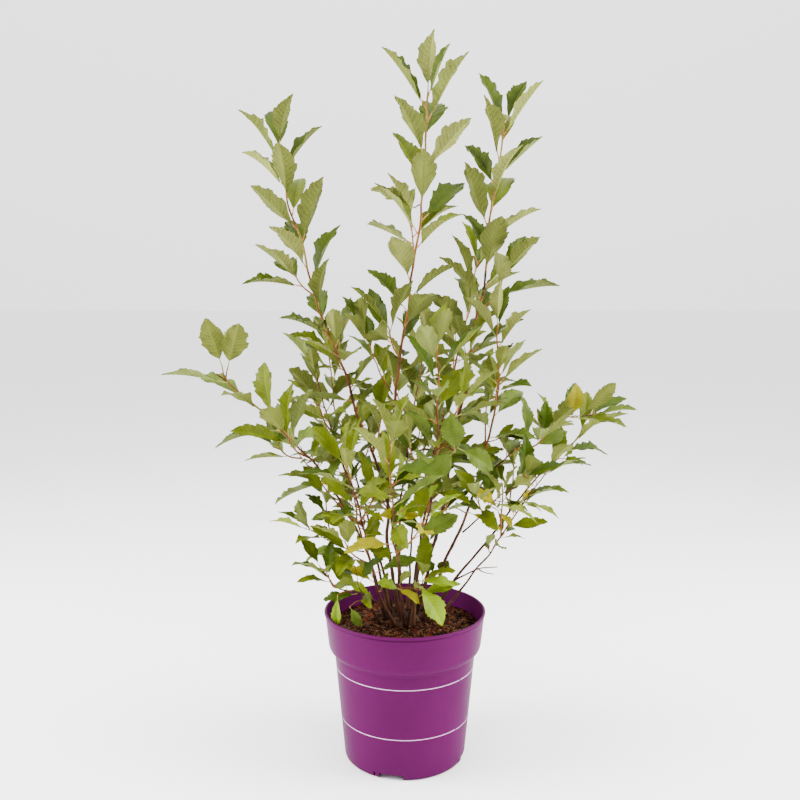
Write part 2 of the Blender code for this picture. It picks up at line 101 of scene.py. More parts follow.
NOTCH_WIDTH = 29 * MM
NOTCH_DEPTH = 16 * MM
NOTCH_HEIGHT = 7 * MM
NOTCH_COUNT = 4
FIRST_NOTCH_DEGREES = -103
SLIT_ASIDE = 16
SLIT_WIDTH = 2 * MM

# Printed lines round the pot: each one's height, and how far its end has slipped up
LINES = ((117 * MM, 0), (52.7 * MM, 0.5 * MM))
LINE_WIDTH = 0.85 * MM
LINE_PROUD = 0.06 * MM
LINE_BREAK = 1.6
LINE_STEPS = 181
PRINT_SEAM = -41

# Compost
SOIL_TOP = 168 * MM
SOIL_EDGE = 163 * MM
SOIL_SKIRT = 6 * MM
SOIL_FLAT_RADIUS = 45 * MM
SOIL_LUMPS = 1.8 * MM
COARSE_LUMPS = 40
FINE_LUMPS = 130
SOIL_MOUND = 6 * MM
SOIL_RINGS = 60
SOIL_STEPS = 180
SOIL_CENTRE = 0.5 * MM
SOIL_GAP = 0.4 * MM
SOIL_SEED = 5
CHIP_COUNT = 1500
CHIP_SPREAD = 0.985
CHIP_LENGTHS = (2.5, 6)
LONG_CHIP_LENGTHS = (6, 13)
SHORT_CHIPS = 0.75
CHIP_WIDTHS = (0.25, 0.6)
CHIP_THICKNESS = (0.6, 2.0)
CHIP_UNEVEN = (-0.45, 0.3)
CHIP_TILTS = (0.35, 0.3)
CHIP_RISE = (-0.2, 1.0)
CHIP_TONES = (0, 0, 1, 1, 2, 3)
FIBRE_COUNT = 420
FIBRE_MARGIN = 12 * MM
FIBRE_CURL = 1.2
FIBRE_LENGTHS = (6, 20)
FIBRE_RISE = (0.3, 1.6)
FIBRE_RADII = (0.15, 0.35)
FIBRE_POINTS = 6

# Root crown, with stubs of canes cut long ago: each one's turn in degrees, its distance and its height
CROWN_RADIUS = 25 * MM
CROWN_NECK = 20 * MM
CROWN_HEIGHT = 13 * MM
CROWN_SINK = 2 * MM
CROWN_SIDES = 48
CROWN_LUMPS = 0.25
CROWN_BUMPS = 2.5 * MM
STOCK_STUBS = ((-128, 15, 9), (-35, 16, 10), (150, 15, 15), (60, 16, 14))
STOCK_SEED = 11
CUT_RADII = (3.4, 3.9)
CUT_TAPER = 0.04
CUT_LEAN = 0.15
CUT_STEPS = 4
CUT_RELIEF = 0.12
STUB_FOOT = 3 * MM
COLLAR = 30 * MM
FLARE = 1.25

# Canes
PATH_STEP = 36 * MM
STEP_MARGIN = 3 * MM
TIP_SHARE = 0.42
TAPER_POWER = 0.8
STEM_PLUMP = 1.15
THINNEST_STEM = 0.9 * MM
TIP_MARGIN = 1 * MM
CLEARANCE = 0.6 * MM
PROBE_SWELL = 1.3

# Wood: its relief, its tones and its slight wander
CANE_SIDES = 12
CANE_PARTS = 9
BARK_RELIEF = 0.10
BARK_LUMPS = 240
BARK_PROBE = 0.01
KNOT_GAP = 21 * MM
KNOT_SHARPNESS = 12
KNOT = 0.16
SLIM = 0.7
SLIM_RISE = 60 * MM
BASE_SWELL = 0.05
BASE_RISE = 14 * MM
TONE_RISE = 170 * MM
TONE_ALONG = 1.6
TONE_OFFSET = (-0.4, 0.5)
PATCH_SCALE = 22
PATCH_DEPTH = 7.5
SWAY = 5 * MM
SWAY_RISE = 60 * MM
SWAY_SCALE = 15
SWAY_SHIFTS = (0, 31.4, 62.7)
TWIG_SIDES = 6
TWIG_RELIEF = 0.08
TWIG_SLIM = 0.9
TWIG_TONES = (4, 5)
DEAD_SWELL = 1.5
DEAD_FORK_SHARE = 0.62
DEAD_FORK = ((0, 0, 0), (8, -2, -3.5), (19, -5, -4.5))

# Side twigs and their leaves
TWIG_REACH = (34 * MM, 58 * MM)
TWIG_STEPS = 3
TWIG_SWELL = 0.2
TWIG_RISE = 0.4
TWIG_BEND = 0.7
TWIG_SPREAD = 0.85
TWIG_LIFT = 0.35
TWIG_LEAVES = 4
TWIG_LEAFY_SHARE = 0.62
TWIG_LEAF_SHARE = 0.78
TWIG_SIZE_STEP = 0.05
TWIG_TILT_STEP = 10
TWIGS_BELOW = 0.35
TWIG_TURN = 15

# Where leaves grow: angles are in degrees, and numbers without MM are shares
SPIRAL = 137.5
SPIRAL_SWAY = 12
LEAF_THICKNESS = 0.025
LEAF_MIDDLE = 0.4
LEAF_FOLD = 0.16
LEAF_DROOP = 0.07
LEAF_ROLL = 35
LEAF_LIFT = 0.35
LEAF_UPRIGHT = 0.9
LEAF_SWAYS = ((0, 1), (25, 1), (-25, 1), (50, 0.85), (-50, 0.85))
LEAF_STOP = 6 * MM
TIP_TILT = 22
TILT_STEP = 5
TILT_SWAY = 6
TOP_TILT = 36
LOW_TILT = 14
SHADE_TILT = 26
SHADE_TOP = 560 * MM
SHADE_DEPTH = 220 * MM
TIP_SIZE = 0.82
SIZE_STEP = 0.07
SIZE_SWAY = (0.9, 1.04)
TOP_SIZE = 1.06
LOW_SIZE = 0.2
FIRST_GAP = 0.35
GAP_STEP = 0.25
ROOT_SINK = 0.35
PROBE_WIDTH = 0.47
PROBE_START = 4 * MM

# Fine spurs between the main leaves
FINE_SEED = 31
FINE_GAP = 13 * MM
FINE_SWAY = (0.7, 1.3)
FINE_STOP = 60 * MM
FINE_TOP = 560 * MM
FINE_FADE = 150 * MM
FINE_SHARE = 0.45
FINE_REACH = (7 * MM, 20 * MM)
FINE_LEAF = (22, 38)
FINE_COUNTS = (2, 3, 3)
FINE_STEP = 0.4
FINE_SIZE_STEP = 0.12
FINE_START = 48 * MM
FINE_MARGIN = 6 * MM
FINE_TILT = 28
FINE_TILT_STEP = 16
BARE_SHARE = 0.55
BARE_RIGHT = 22 * MM
BARE_FOOT = 215 * MM
SPUR_RADIUS = 0.6 * MM
SPUR_TAPER = (1.5, 1.2, 1)
SPUR_BENDS = (0.4, 0.7, 1)
SPUR_ALONG = 0.5
SPUR_LIFT = 0.25

# Leaf blades, in shares of the leaf's length or of half its width
BLADE_ROWS = 24
FULL_COLUMNS = (-1, -0.72, -0.4, -0.12, 0, 0.12, 0.4, 0.72, 1)
SMALL_COLUMNS = (-1, -0.55, -0.14, 0, 0.14, 0.55, 1)
BLADE_ENDS = (0.004, 0.996)
EDGE = 0.99
HIGH_GAIN = 1.14
LOW_GAIN = 1.04
CRIMP = 2.7
VEIN_PAIRS = 12
VEIN_SLANT = 0.19
VEIN_DEPTH = 0.0045
TOOTH = 0.07
TOOTH_LEAN = 0.4
TOOTH_UNEVEN = (0.4, 1.6)
TOOTH_START = 0.2
TWIST_START = 0.3
FLAT_EDGE = 0.35
TIP_DROP = 0.33
SKIN = 0.004
RIB = 0.016
RIB_WIDTH = 0.16
PETIOLE = 0.15
PETIOLE_OVERLAP = 0.05
PETIOLE_SAG = 0.004
PETIOLE_RADII = (0.016, 0.011, 0.008)
PETIOLE_SIDES = 5
RED_STALKS = 0.25

# Colours of the pot, the compost and the wood
POT_COLOUR = (0.066, 0.003, 0.048)
POT_SCUFF = (0.11, 0.012, 0.085)
POT_SHEEN = 0.03
WOOD_SHEEN = 0.1
SOIL_SHEEN = 0.08
LEAF_SHEEN = 0.08
LINE_COLOUR = (0.70, 0.42, 0.66)
SOIL_DARK = (0.006, 0.0018, 0.0006)
SOIL_BROWN = (0.034, 0.009, 0.003)
CHIP_COLOURS = ((0.012, 0.004, 0.002), (0.045, 0.011, 0.004), (0.09, 0.019, 0.006), (0.10, 0.04, 0.016))
FIBRE_COLOURS = ((0.14, 0.045, 0.018), (0.21, 0.11, 0.05))
BARK_TONES = (
    ("dark", (0.022, 0.009, 0.005)),
    ("base", (0.085, 0.038, 0.018)),
    ("old", (0.048, 0.017, 0.008)),
    ("brown", (0.090, 0.030, 0.012)),
    ("russet", (0.135, 0.046, 0.014)),
    ("orange", (0.200, 0.082, 0.018)),
    ("green", (0.230, 0.135, 0.028)),
)
FOOT_TONES = (0, 1, 2, 2, 0)
LOWEST_TONE = 2
STOCK_TONES = (("root", (0.026, 0.011, 0.006)), ("stub", (0.060, 0.027, 0.013)))
STALK_TONES = (("green", (0.25, 0.25, 0.05)), ("red", (0.36, 0.15, 0.05)))

# Leaf tones: each one's name and the colours of its upper and its under skin, and which leaves take it
LEAF_TONES = (
    ("mid", (0.076, 0.098, 0.001), (0.125, 0.142, 0.022)),
    ("dark", (0.032, 0.054, 0.0005), (0.095, 0.112, 0.014)),
    ("blue", (0.070, 0.102, 0.009), (0.140, 0.168, 0.036)),
    ("upper", (0.036, 0.056, 0.0003), (0.112, 0.128, 0.022)),
    ("upper_pale", (0.068, 0.089, 0.0006), (0.175, 0.190, 0.042)),
    ("yellow", (0.25, 0.222, 0.002), (0.28, 0.255, 0.014)),
    ("olive", (0.17, 0.155, 0.002), (0.18, 0.165, 0.012)),
    ("lime", (0.140, 0.210, 0.002), (0.195, 0.240, 0.024)),
)
BLUISH = ("right_red", "centre_red", "right_long", "right_thin", "back_right")
BLUISH_BLUE = 0.4
OTHERS_BLUE = 0.15
MID_SHARE = 0.72
LIGHT_TOP = 330 * MM
LIGHT_SHARE = 0.09
YELLOW_SHARE = 0.4
UPPER_FOOT = SHADE_TOP - 60 * MM
PALE_SHARE = 0.4

# Single leaves: the cane and the place along it, root and tip, the way the upper side faces, half the width
# as a share of the length, and the tone
FRONT = (0, -1, 0.35)
TOP = (0.1, -0.5, 1)
FEATURES = (
    ("low_front", 78, (15, -66, 243), (45, -84, 198), (0.4, -1, 0.6), 0.25, "lime"),
    ("low_front", 76, (16, -64, 244), (59, -70, 241), TOP, 0.24, "lime"),
    ("low_front", 74, (-10, -62, 236), (17, -78, 226), TOP, 0.24, "yellow"),
    ("front_mid", 66, (-7, -60, 234), (-30, -74, 249), (0, -0.8, 1), 0.26, "lime"),
    ("front_mid", 68, (-8, -60, 239), (3, -66, 260), (0, 1, 0.3), 0.25, "mid"),
    ("low_left", 62, (-80, -46, 218), (-81, -50, 180), (-0.5, -1, 0.2), 0.2, "lime"),
    ("low_left", 40, (-65, -50, 204), (-50, -58, 183), FRONT, 0.25, "blue"),
    ("front_left", 110, (-46, -52, 323), (-22, -58, 312), TOP, 0.22, "yellow"),
    ("centre_red", 140, (27, -48, 335), (0, -62, 321), TOP, 0.26, "lime"),
    ("right_red", 150, (47, -20, 317), (26, -30, 298), FRONT, 0.27, "lime"),
    ("right_red", 180, (73, -30, 343), (107, -46, 331), (0, -0.7, 1), 0.27, "yellow"),
    ("right_red", 150, (75, -16, 312), (115, -30, 296), TOP, 0.2, "yellow"),
    ("right_long", 150, (197, -36, 427), (199, -44, 465), FRONT, 0.3, "olive"),
    ("centre_red", 236, (56, -88, 396), (52, -94, 440), FRONT, 0.34, "blue"),
    ("centre_red", 234, (56, -88, 398), (27, -98, 370), FRONT, 0.34, "blue"),
    ("centre_red", 238, (58, -88, 401), (101, -92, 379), (0.2, -1, 0.6), 0.28, "blue"),
    ("right_tall", 52, (36, 2, 230), (27, -6, 245), FRONT, 0.4, "dark"),
    ("right_tall", 54, (41, 2, 228), (51, -6, 248), FRONT, 0.38, "dark"),
    ("centre_tall", 516, (12, -14, 676), (-38, -20, 702), (0, 0.6, 1), 0.22, "upper_pale"),
    ("left_long", 370, (-213, -36, 489), (-230, -42, 546), (-0.7, 1, 0.3), 0.25, "mid"),
    ("left_long", 368, (-206, -36, 487), (-192, -44, 541), (0.2, 1, 0.2), 0.34, "mid"),
)
FEATURE_SEED = 500
FEATURE_LOW = 0.6
FEATURE_ARCH = 0.1
FEATURE_RADII = (1.0 * MM, 0.7 * MM)

# Leaves of the growth rule that give way to the single ones, by their cane and their order on it
GIVEN_WAY = {"left_long": (0, 1, 3)}
LOOK_SEED = 100

# Studio: each light's name, place, size and power
FLOOR_SIZE = 60
FLOOR_TONES = (0.935, 0.955)
WORLD_FRONT = 0.5
WORLD_BACK = 2.4
WORLD_TOP = 1.2
LIGHTS = (
    ("soft_left", (-1.4, -0.2, 1.1), (0.9, 1.2), 74),
    ("soft_right", (1.4, -0.2, 1.1), (0.9, 1.2), 74),
    ("overhead", (0, -0.5, 2.3), (1.4, 1.4), 48),
)
LIGHTS_AIM = (0, 0, 0.42)

# A box of side 1 round its own centre
BOX = np.array([(x, y, z) for z in (-1, 1) for x, y in ((-1, -1), (1, -1), (1, 1), (-1, 1))]) / 2
BOX_FACES = np.array([(0, 3, 2, 1), (4, 5, 6, 7), (0, 1, 5, 4), (1, 2, 6, 5), (2, 3, 7, 6), (3, 0, 4, 7)])

# A cane's first row is its foot, two bends and tip in millimetres. Its second row is its girth at the
# foot, the share of its length with no leaves, the distance between leaves and the length of a full leaf
# in millimetres, how many leaves there are to a side twig, the turn of its top leaf in degrees, and the
# seed of its small chances. A bough that leaves another cane names it and the share of that cane's
# length where it leaves, in place of a foot.
Cane = namedtuple("Cane", "name foot rise bend tip girth bare gap leaf twigs turn seed")
CANES = (
    ("left_tall", (-12, 8, 168), (20, 12, 325), (-135, 18, 562), (-151, 30, 750),
     7.0, 0.22, 17, 72, 6, 320, 10),
    ("centre_tall", (-2, -4, 168), (-60, -6, 355), (30, -20, 610), (27, -30, 800),
     7.0, 0.46, 18, 76, 6, 270, 11),
    ("right_tall", (11, 8, 168), (70, 14, 360), (95, 30, 595), (121, 50, 785),
     7.0, 0.24, 17, 74, 5, 30, 5),
    ("back_right", (8, 20, 168), (15, 32, 310), (70, 75, 480), (97, 112, 615),
     6.0, 0.28, 17, 64, 5, 180, 2),
    ("right_red", (21, -3, 168), (75, 0, 315), (125, -15, 405), (109, -20, 540),
     6.5, 0.47, 14, 62, 4, 270, 1),
    ("centre_red", (9, -15, 168), (20, -26, 285), (45, -55, 405), (36, -90, 512),
     6.0, 0.28, 15, 66, 4, 300, 3),
    ("back_centre", (-4, 18, 168), (-15, 30, 275), (0, 70, 410), (36, 100, 510),
     5.5, 0.3, 16, 64, 4, 150, 2),
    ("left_inner", (-19, 8, 168), (-35, 8, 285), (-95, 20, 380), (-115, 30, 500),
     5.5, 0.28, 15, 62, 4, 270, 1),
    ("left_long", (-24, -3, 168), (-45, -16, 315), (-111, -17, 393), (-222, -33, 480),
     6.0, 0.42, 17, 74, 5, 300, 8),
    ("front_left", (-11, -17, 168), (-50, -35, 240), (-45, -65, 310), (-70, -110, 392),
     5.0, 0.22, 14, 62, 4, 30, 7),
    ("right_low", (25, 9, 168), (95, 20, 255), (155, 32, 340), (236, 44, 412),
     5.5, 0.48, 17, 60, 5, 220, 11),
    ("right_thin", (32, -5, 168), (90, -8, 230), (130, -14, 310), (175, -30, 375),
     4.5, 0.45, 16, 54, 4, 120, 10),
    ("low_left", (-29, -14, 168), (-45, -20, 235), (-90, -35, 200), (-100, -50, 256),
     4.0, 0.35, 14, 50, 4, 90, 10),
    ("low_front", (2, -28, 168), (8, -38, 215), (15, -60, 215), (25, -75, 252),
     3.5, 0.38, 14, 54, 0, 200, 15),
    ("back_left", (-16, 21, 168), (-30, 45, 280), (-95, 95, 380), (-105, 120, 500),
     5.5, 0.28, 16, 62, 4, 120, 3),
    ("back_low", (4, 31, 168), (5, 60, 270), (25, 124, 350), (20, 174, 420),
     5.0, 0.32, 16, 60, 4, 340, 14),
    ("front_mid", (-1, -27, 168), (-5, -55, 270), (-20, -120, 330), (-15, -165, 425),
     4.5, 0.35, 16, 62, 4, 150, 11),
    ("right_long", ("right_red", 0.45), (122, -20, 383), (155, -24, 424), (224, -32, 432),
     3.6, 0.18, 15, 58, 4, 300, 11),
    ("left_thin", ("left_long", 0.40), (-103, 5, 340), (-125, 30, 370), (-159, 60, 392),
     3.2, 0.12, 16, 56, 4, 0, 8),
    ("left_low", ("left_long", 0.24), (-66, -20, 275), (-85, -35, 262), (-115, -45, 300),
     3.0, 0.15, 14, 54, 4, 200, 1),
    ("right_front", ("right_red", 0.30), (95, -22, 315), (115, -60, 345), (136, -85, 372),
     3.4, 0.15, 14, 56, 4, 210, 4),
    ("low_shoot", ("front_left", 0.13), (-48, -46, 218), (-58, -60, 228), (-62, -78, 268),
     2.6, 0.15, 12, 46, 0, 180, 4),
    ("dead_twig", ("right_low", 0.17), (75, 0, 240), (95, -10, 236), (112, -20, 244),
     2.6, 1.0, 0, 0, 0, 0, 1),
    ("left_shoot", ("centre_tall", 0.44), (-32, -20, 480), (-36, -26, 505), (-48, -32, 533),
     3.0, 0.12, 14, 56, 0, 330, 6),
)


def clamp(value, low=0, high=1):
    return min(max(value, low), high)


def in_metres(point):
    return Vector(point) * MM


def as_rows(points):
    """An array with one point in each row."""
    return np.array([tuple(point) for point in points])


def polar(radius, angle):
    """Where a point lies at this distance from the pot's axis and this turn in radians."""
    return radius * math.cos(angle), radius * math.sin(angle)


def band_radius(height):
    """Outer radius of the rim band between its lower edge and the lip."""
    share = (height - BAND_FOOT) / (BAND_TOP - BAND_FOOT)
    return BAND_FOOT_RADIUS + share * (BAND_TOP_RADIUS - BAND_FOOT_RADIUS)


def body_radius(height):
    """Outer radius of the pot's body at this height."""
    share = (height - FOOT_TOP) / (BODY_TOP - FOOT_TOP)
    return FOOT_RADIUS + share * (BODY_TOP_RADIUS - FOOT_RADIUS)


def inner_radius(height):
    """Radius of the pot's inner wall, which follows the body and then the rim band."""
    share = (height - BASE_TOP) / (BODY_TOP - BASE_TOP)
    if share <= 1:
        return FOOT_RADIUS - WALL + share * (BODY_TOP_RADIUS - FOOT_RADIUS)
    return band_radius(height) - WALL


class Path:
    """A line of short straight steps along a smooth curve, read by the distance along it."""

    def __init__(self, foot, rise, bend, tip, steps):
        self.points = interpolate_bezier(foot, rise, bend, tip, steps + 1)
        self.marks = [0.0]
        for a, b in zip(self.points, self.points[1:]):
            self.marks.append(self.marks[-1] + (b - a).length)
        self.length = self.marks[-1]

    def at(self, distance):
        """Point and direction at this distance from the foot."""
        distance = clamp(distance, 0, self.length)
        i = next(i for i, mark in enumerate(self.marks[1:]) if mark >= distance - 1e-9)
        step = self.points[i + 1] - self.points[i]
        share = (distance - self.marks[i]) / (self.marks[i + 1] - self.marks[i])
        return self.points[i] + share * step, step.normalized()

    def off_corners(self, distance):
        """This distance, or one a little further along where a corner of the line is too near it."""
        for mark in self.marks:
            if abs(mark - distance) < STEP_MARGIN:
                return mark + STEP_MARGIN
        return distance


class Limb:
    """One cane with its path, its taper, and where its bare wood ends and its foliage starts."""

    def __init__(self, cane, limbs):
        self.cane = cane
        self.foot_radius = cane.girth / 2 * MM
        parent = limbs.get(cane.foot[0])
        rise, bend, tip = [in_metres(point) for point in (cane.rise, cane.bend, cane.tip)]
        if parent:
            mark = cane.foot[1] * parent.path.length
            fork, along = parent.path.at(mark)
            leaving = (rise - fork).normalized()
            cosine = leaving.dot(along)
            sine = math.sqrt(1 - cosine * cosine)
            foot = fork + leaving * ((parent.radius(mark) + GAP + self.foot_radius * abs(cosine)) / sine)
        else:
            foot = in_metres(cane.foot)
        self.path = Path(foot, rise, bend, tip, round((tip - foot).length / PATH_STEP))
        self.start = 0 if parent else self.path.off_corners(COLLAR)
        self.leafy_from = cane.bare * self.path.length
        if not self.is_bare():
            self.leafy_from = self.path.off_corners(self.leafy_from)

    def is_bare(self):
        return self.cane.bare == 1

    def radius(self, distance):
        """Radius of the wood, thickest at the foot."""
        share = clamp(distance / self.path.length)
        flare = (FLARE - 1) * max(0, 1 - distance / COLLAR) if self.start else 0
        return self.foot_radius * (1 + flare + (TIP_SHARE - 1) * share**TAPER_POWER)

    def probe(self, start, end, size=lambda radius: radius):
        """The limb between two distances along it, as a tree that tells what crosses it."""
        marks = [start] + [mark for mark in self.path.marks if start < mark < end] + [end]
        points = [self.path.at(mark)[0] for mark in marks]
        return tube_probe(points, [size(self.radius(mark)) for mark in marks])


def stem_radius(radius):
    """The stem that carries the leaves is a little plumper in the solids than the cane it continues."""
    return max(radius * STEM_PLUMP, THINNEST_STEM)


def outward(stem_way, turn):
    """The way out of a stem at this turn, where 0 is +X and 90 is +Y on an upright stem."""
    lean = Vector((0, 0, 1)).rotation_difference(stem_way)
    return lean @ Vector((*polar(1, math.radians(turn)), 0))


def tube_probe(points, radii):
    """A four-sided tube round a line, as a tree that tells what crosses it."""
    corners = []
    for i, (point, radius) in enumerate(zip(points, radii)):
        way = points[min(i + 1, len(points) - 1)] - points[max(i - 1, 0)]
        for turn in range(0, 360, 90):
            corners.append(point + outward(way.normalized(), turn) * (radius * PROBE_SWELL + CLEARANCE))
    return BVHTree.FromPolygons(corners, grid_faces(len(points), 4, around=True).tolist())


def probe_shape():
    """Corners and faces of the solid leaf of the part's source, which tests where a leaf has room."""
    outline = ((0.5, 0.46), (0.42, 0.77), (0, 1), (-0.42, 0.77), (-0.5, 0.46), (0, 0))
    corners = [Vector((x, y, abs(x) * LEAF_FOLD - LEAF_DROOP * y * y)) for x, y in outline]
    for side in (1, -1):
        corners.append(Vector((0, LEAF_MIDDLE, side * LEAF_THICKNESS / 2 + LEAF_DROOP * 0.3)))
    faces = []
    for i in range(6):
        faces.append((i, (i + 1) % 6, 6))
        faces.append(((i + 1) % 6, i, 7))
    return corners, faces


PROBE_CORNERS, PROBE_FACES = probe_shape()


def leaf_probe(root, along, up, length):
    """The solid leaf with this root, pointing along and facing up, as a tree that tells what crosses it."""
    side = along.cross(up).normalized()
    up = side.cross(along).normalized()
    matrix = Matrix.Identity(4)
    for i, column in enumerate((side * length * PROBE_WIDTH, along * length, up * length)):
        matrix[0][i], matrix[1][i], matrix[2][i] = column
    matrix.translation = root
    return BVHTree.FromPolygons([matrix @ corner for corner in PROBE_CORNERS], PROBE_FACES)


class Foliage:
    """Where the leaves and side twigs of one cane grow, each clear of what already fills the space."""

    def __init__(self, limb, space):
        self.limb = limb
        self.cane = limb.cane
        self.space = space
        self.draw = random.Random(self.cane.seed)
        self.leaves = []
        self.twigs = []
        self.blades = []
        self.grow()
        space[self.cane.name] += self.blades

    def clear(self, solid):
        """Whether this solid crosses no other cane, no other cane's leaves and no leaf of its own."""
        for name, trees in self.space.items():
            if name != self.cane.name and any(tree.overlap(solid) for tree in trees):
                return False
        return not any(blade.overlap(solid) for blade in self.blades)

    def try_leaf(self, point, stem_way, radius, turn, tilt, length):
        """Adds the leaf where the spiral puts it, or turned a little, or not at all."""
        length *= MM
        tilt = math.radians(tilt)
        roll = math.radians(self.draw.uniform(-LEAF_ROLL, LEAF_ROLL))
        for sway_turn, share in LEAF_SWAYS:
            along = stem_way * math.cos(tilt) + outward(stem_way, turn + sway_turn) * math.sin(tilt)
            along.z += LEAF_LIFT * (1 - abs(stem_way.z))
            along.normalize()
            up = stem_way + Vector((0, 0, LEAF_UPRIGHT))
            up.rotate(Quaternion(along, roll))
            solid = leaf_probe(point + along * PROBE_START, along, up, length * share + CLEARANCE)
            if self.clear(solid):
                self.blades.append(solid)
                self.leaves.append((point - along * radius * ROOT_SINK, along, up, length * share))
                return

    def try_twig(self, path, radii):
        """Adds the twig if nothing is in its way, and tells whether it did."""
        free = self.clear(tube_probe(path.points, radii))
        if free:
            self.twigs.append((path.points, radii))
        return free

    def add_twig(self, point, stem_way, turn):
        """A short side shoot with its own leaves, where there is room for it."""
        way = (stem_way + outward(stem_way, turn)).normalized()
        reach = self.draw.uniform(*TWIG_REACH)
        lift = Vector((0, 0, TWIG_LIFT))
        rise = point + way * reach * TWIG_RISE
        bend = point + (way + lift * TWIG_RISE) * reach * TWIG_BEND
        path = Path(point, rise, bend, point + (way * TWIG_SPREAD + lift) * reach, TWIG_STEPS)
        if not self.try_twig(path, [THINNEST_STEM * (1 + TWIG_SWELL * i) for i in range(TWIG_STEPS, -1, -1)]):
            return
        for i in range(TWIG_LEAVES):
            mark = path.length * (1 - TWIG_LEAFY_SHARE * i / TWIG_LEAVES) - TIP_MARGIN
            size = self.cane.leaf * (TWIG_LEAF_SHARE + TWIG_SIZE_STEP * i)
            tilt = TIP_TILT + TWIG_TILT_STEP * i
            self.try_leaf(*path.at(mark), THINNEST_STEM, turn + i * SPIRAL, tilt, size)

    def grow(self):
        """Sets leaves and side twigs in a spiral from the tip down to where the foliage starts."""
        limb, cane, draw = self.limb, self.cane, self.draw
        turn = cane.turn
        mark = limb.path.length - TIP_MARGIN
        leafy = mark - limb.leafy_from
        count = 0
        while mark > limb.leafy_from + LEAF_STOP:
            low = (limb.path.length - mark) / leafy
            point, stem_way = limb.path.at(mark)
            if cane.twigs and low > TWIGS_BELOW and count % cane.twigs == 0:
                self.add_twig(point, stem_way, turn + draw.uniform(-TWIG_TURN, TWIG_TURN))
            else:
                shade_tilt = SHADE_TILT * clamp((SHADE_TOP - point.z) / SHADE_DEPTH)
                tilt = min(TIP_TILT + TILT_STEP * count, TOP_TILT + LOW_TILT * low + shade_tilt)
                tilt += draw.uniform(-TILT_SWAY, TILT_SWAY)
                size = min(TIP_SIZE + SIZE_STEP * count, TOP_SIZE - LOW_SIZE * low)
                size *= draw.uniform(*SIZE_SWAY)
                self.try_leaf(point, stem_way, stem_radius(limb.radius(mark)), turn, tilt, cane.leaf * size)
            turn += SPIRAL + draw.uniform(-SPIRAL_SWAY, SPIRAL_SWAY)
            mark -= cane.gap * MM * min(1, FIRST_GAP + GAP_STEP * count)
            count += 1

    def grow_fine(self):
        """Short spurs with small leaves between the main leaves of the lower crown, where there is room."""
        limb, cane = self.limb, self.cane
        draw = random.Random(cane.seed * FINE_SEED + len(cane.name))
        low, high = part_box(f"foliage_{cane.name}")
        mark = min(limb.leafy_from, limb.start + FINE_START)
        while mark < limb.path.length - FINE_STOP:
            point, stem_way = limb.path.at(mark)
            bare = mark < limb.leafy_from
            mark += FINE_GAP * draw.uniform(*FINE_SWAY)
            chance = clamp((FINE_TOP - point.z) / FINE_FADE) * FINE_SHARE
            if bare:
                chance = BARE_SHARE if point.x < BARE_RIGHT and point.z > BARE_FOOT else 0
            turn = draw.uniform(0, 360)
            reach = draw.uniform(*FINE_REACH)
            if draw.random() > chance:
                continue
            way = (stem_way * SPUR_ALONG + outward(stem_way, turn) + Vector((0, 0, SPUR_LIFT))).normalized()
            path = Path(point, *[point + way * reach * share for share in SPUR_BENDS], 2)
            if not self.try_twig(path, [SPUR_RADIUS * size for size in SPUR_TAPER]):
                continue
            grown = len(self.leaves)
            for i in range(draw.choice(FINE_COUNTS)):
                spot, along = path.at(path.length * (1 - FINE_STEP * i) - TIP_MARGIN / 2)
                size = draw.uniform(*FINE_LEAF) * (1 - FINE_SIZE_STEP * i)
                tip = spot + outward(along, turn + i * SPIRAL) * size * MM
                near = [low[axis] - FINE_MARGIN < tip[axis] < high[axis] + FINE_MARGIN for axis in range(3)]
                if all(near) or bare:
                    tilt = FINE_TILT + FINE_TILT_STEP * i
                    self.try_leaf(spot, along, SPUR_RADIUS, turn + i * SPIRAL, tilt, size)
            if len(self.leaves) == grown:
                self.twigs.pop()
        self.space[cane.name] = self.space[cane.name][:1] + self.blades


def grow_plant():
    """All the limbs by their names, and the masses of foliage with the count of main leaves in each."""
    limbs = {}
    for row in CANES:
        cane = Cane(*row)
        limbs[cane.name] = Limb(cane, limbs)
    space = {}
    for name, limb in limbs.items():
        space[f"cane_{name}"] = [limb.probe(limb.start, limb.leafy_from)]
        space[name] = []
        if not limb.is_bare():
            space[name].append(limb.probe(limb.leafy_from + GAP, limb.path.length, stem_radius))
    masses = [Foliage(limb, space) for limb in limbs.values() if not limb.is_bare()]
    for mass in masses:
        gone = GIVEN_WAY.get(mass.cane.name, ())
        mass.leaves = [place for i, place in enumerate(mass.leaves) if i not in gone]
    counts = [len(mass.leaves) for mass in masses]
    for mass in masses:
        mass.grow_fine()
    return limbs, list(zip(masses, counts))


def shade(colour, factor):
    return tuple(min(channel * factor, 1) for channel in colour)


